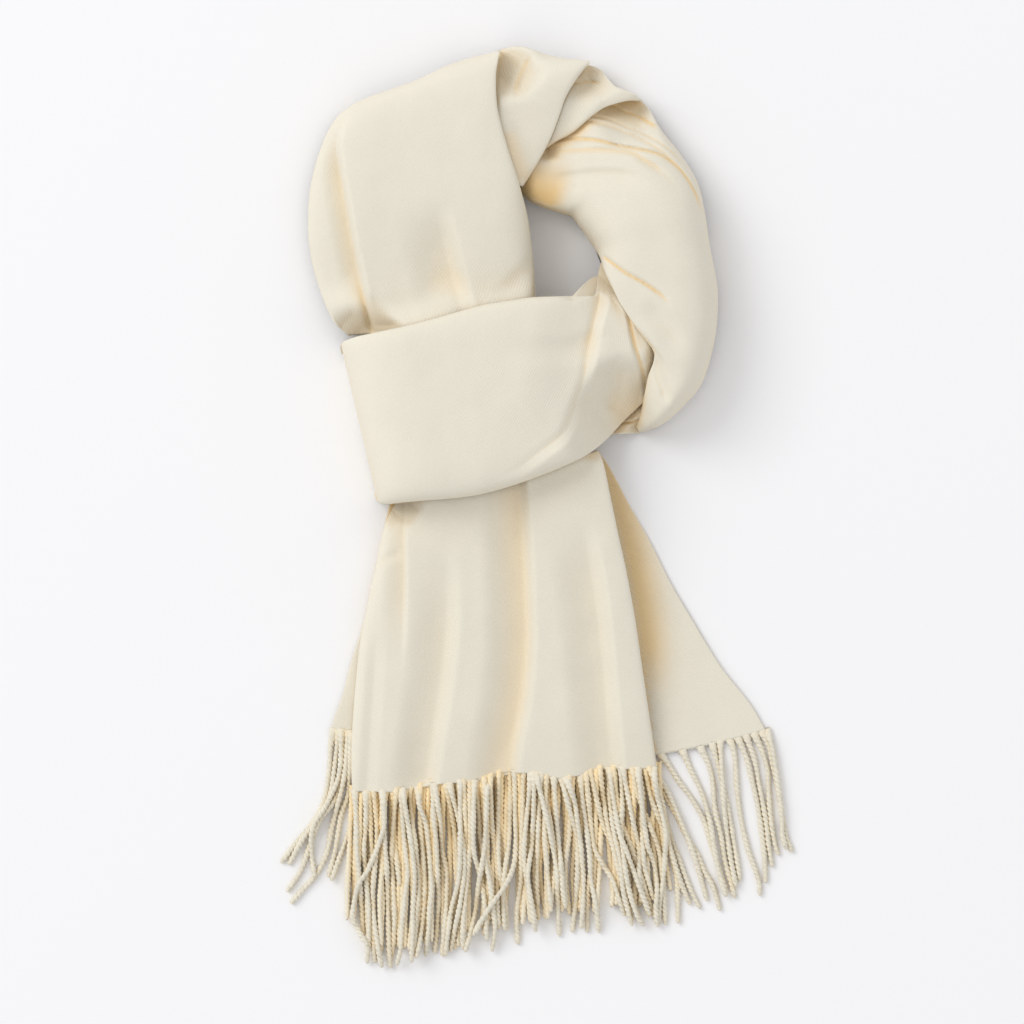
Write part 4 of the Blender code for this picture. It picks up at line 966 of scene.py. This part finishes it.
def strandRings(line, z, place, seed, yarnCut):             # rings of points round a two-ply strand
    path = np.column_stack([line, z])
    forward = np.gradient(path, axis=0)
    forward /= np.linalg.norm(forward, axis=1, keepdims=True)
    side = np.cross(forward, [0, 0, 1.0])
    side /= np.linalg.norm(side, axis=1, keepdims=True)
    up = np.cross(side, forward)
    around = 2 * np.pi * np.arange(yarnCut["around"]) / yarnCut["around"]
    twist = 2 * np.pi * (place / yarnCut["twist"] + seed * yarnCut["turn"])
    angle = around[None, :] + twist[:, None]
    ply, apart = yarnCut["ply"], yarnCut["apart"]
    reach = apart * np.abs(np.cos(around)) + np.sqrt(ply**2 - (apart * np.sin(around))**2)
    swell = 1 + sum(far * np.sin(place / length + differs * seed) for far, length, differs in yarnCut["swells"])
    lead = np.clip(place / yarnCut["rootRun"], 0, 1)
    share = (lead * (2 - lead))[:, None]  # the root is flat, and the strand grows round along its root run
    end = np.clip((place[-1] - place) / yarnCut["tipRun"], 0, 1)[:, None]
    taper = yarnCut["tipShare"] + (1 - yarnCut["tipShare"]) * np.sqrt(end)
    full = share * reach * swell[:, None]
    wide = ((1 - share) * yarnCut["rootHalf"] + full) * np.cos(angle)
    high = ((1 - share) * yarnCut["rootThick"] + full) * np.sin(angle)
    rings = path[:, None] + taper[..., None] * (wide[..., None] * side[:, None] + high[..., None] * up[:, None])
    notch = np.abs(np.sin(around))[None, :]**6 * share      # how near each point is to where the plies meet
    return rings, notch


def addStrand(bm, layers, rings, shadeShare, place, yarnCut):
    grid = bmesh.ops.create_grid(bm, x_segments=yarnCut["around"], y_segments=len(rings) - 1, size=1)["verts"]
    paintedShade, weave = layers
    seam = []
    for count, vert in enumerate(grid):   # its last column lies on its first and is joined to it
        ring, step = divmod(count, yarnCut["around"] + 1)
        vert.co = Vector(rings[ring, step % yarnCut["around"]]) * mm
        vert[paintedShade] = float(shadeShare[ring, step % yarnCut["around"]])
        for loop in vert.link_loops:
            loop[weave].uv = (step * yarnCut["facet"] * mm, place[ring] * mm)
        if step in (0, yarnCut["around"]):
            seam.append(vert)
    bmesh.ops.remove_doubles(bm, verts=seam, dist=1e-7)


strandTops = np.maximum(onMap(rolled["backTailCloth"][0], 0.0, np.maximum, 3), 0.0)
laid = {}
for name, fringe in fringes.items():
    laid[name] = []
    hem = shapes[fringe["hem"]]["points"][-1]
    for count, row in enumerate(fringe["strands"]):
        line, place = strandLine(row, hem, fringe["tuck"], fringe["cut"])
        rootHeight = max(np.interp(line[0, 0], hem[:, 0], hem[:, 2]) - fringe["drop"], yarnCut["rootLow"])
        z = settle(line, place, rootHeight, strandTops, fringe["cut"])
        laid[name].append((*strandRings(line, z, place, count + len(name), fringe["cut"]), place))
allTops = np.maximum(strandTops, clothTops)
for name, strands in laid.items():
    bm = bmesh.new()
    layers = bm.verts.layers.float.new("paintedShade"), bm.loops.layers.uv.new("weave")
    for rings, notch, place in strands:
        # painted warm shade on each strand: near its root, where it lies in a gap, and where its plies meet
        rootShade = (np.exp(-(place / yarnCut["rootShadeRun"])**2)
                      + yarnCut["deepRootShade"] * np.exp(-(place / yarnCut["deepRun"])**2))
        shadeShare = (yarnCut["notchShade"] * notch + yarnCut["gapShade"] * hollowShadeOf(rings, allTops)
                  + fringes[name]["rootShadeStrength"] * rootShade[:, None])
        addStrand(bm, layers, rings, np.clip(shadeShare, 0, 1), place, fringes[name]["cut"])
    bmesh.ops.holes_fill(bm, edges=[edge for edge in bm.edges if edge.is_boundary], sides=yarnCut["around"])
    bmesh.ops.recalc_face_normals(bm, faces=bm.faces)
    for face in bm.faces:
        face.smooth = True
    made[name] = finishPiece(name, bm, yarnCream, fringes[name]["nodes"])
print("fringe made:", sum(len(strands) for strands in laid.values()), "strands")

studio = {"floor": (0.93, 0.93, 0.935, 1), "floorSize": 4, "sky": (0.985, 0.985, 1.0, 1), "skyStrength": 0.765,
          "lampPlace": (-4.9, 3.6, 5.4), "lampSize": 4.6, "lampPower": 266.0}


def lightStudio(studio):
    bm = bmesh.new()
    bmesh.ops.create_grid(bm, x_segments=1, y_segments=1, size=studio["floorSize"])
    mesh = bpy.data.meshes.new("studioFloor")
    bm.to_mesh(mesh)
    bm.free()
    floor = bpy.data.objects.new("studioFloor", mesh)
    floorFinish = Finish("studioWhite")
    floorFinish.fill(floorFinish.shader, {"Base Color": studio["floor"], "Roughness": 0.9, "Specular IOR Level": 0.1})
    mesh.materials.append(floorFinish.material)
    bpy.context.scene.collection.objects.link(floor)
    world = bpy.data.worlds.new("studioSky")
    bpy.context.scene.world = world
    world.use_nodes = True
    sky = world.node_tree.nodes["Background"].inputs
    sky["Color"].default_value = studio["sky"]
    sky["Strength"].default_value = studio["skyStrength"]
    lamp = bpy.data.lights.new("windowLight", "AREA")
    lamp.size = studio["lampSize"]
    lamp.energy = studio["lampPower"]
    window = bpy.data.objects.new("windowLight", lamp)
    window.location = studio["lampPlace"]
    window.rotation_euler = Vector(studio["lampPlace"]).to_track_quat("Z", "Y").to_euler()
    bpy.context.scene.collection.objects.link(window)


lightStudio(studio)
print("studio lit")
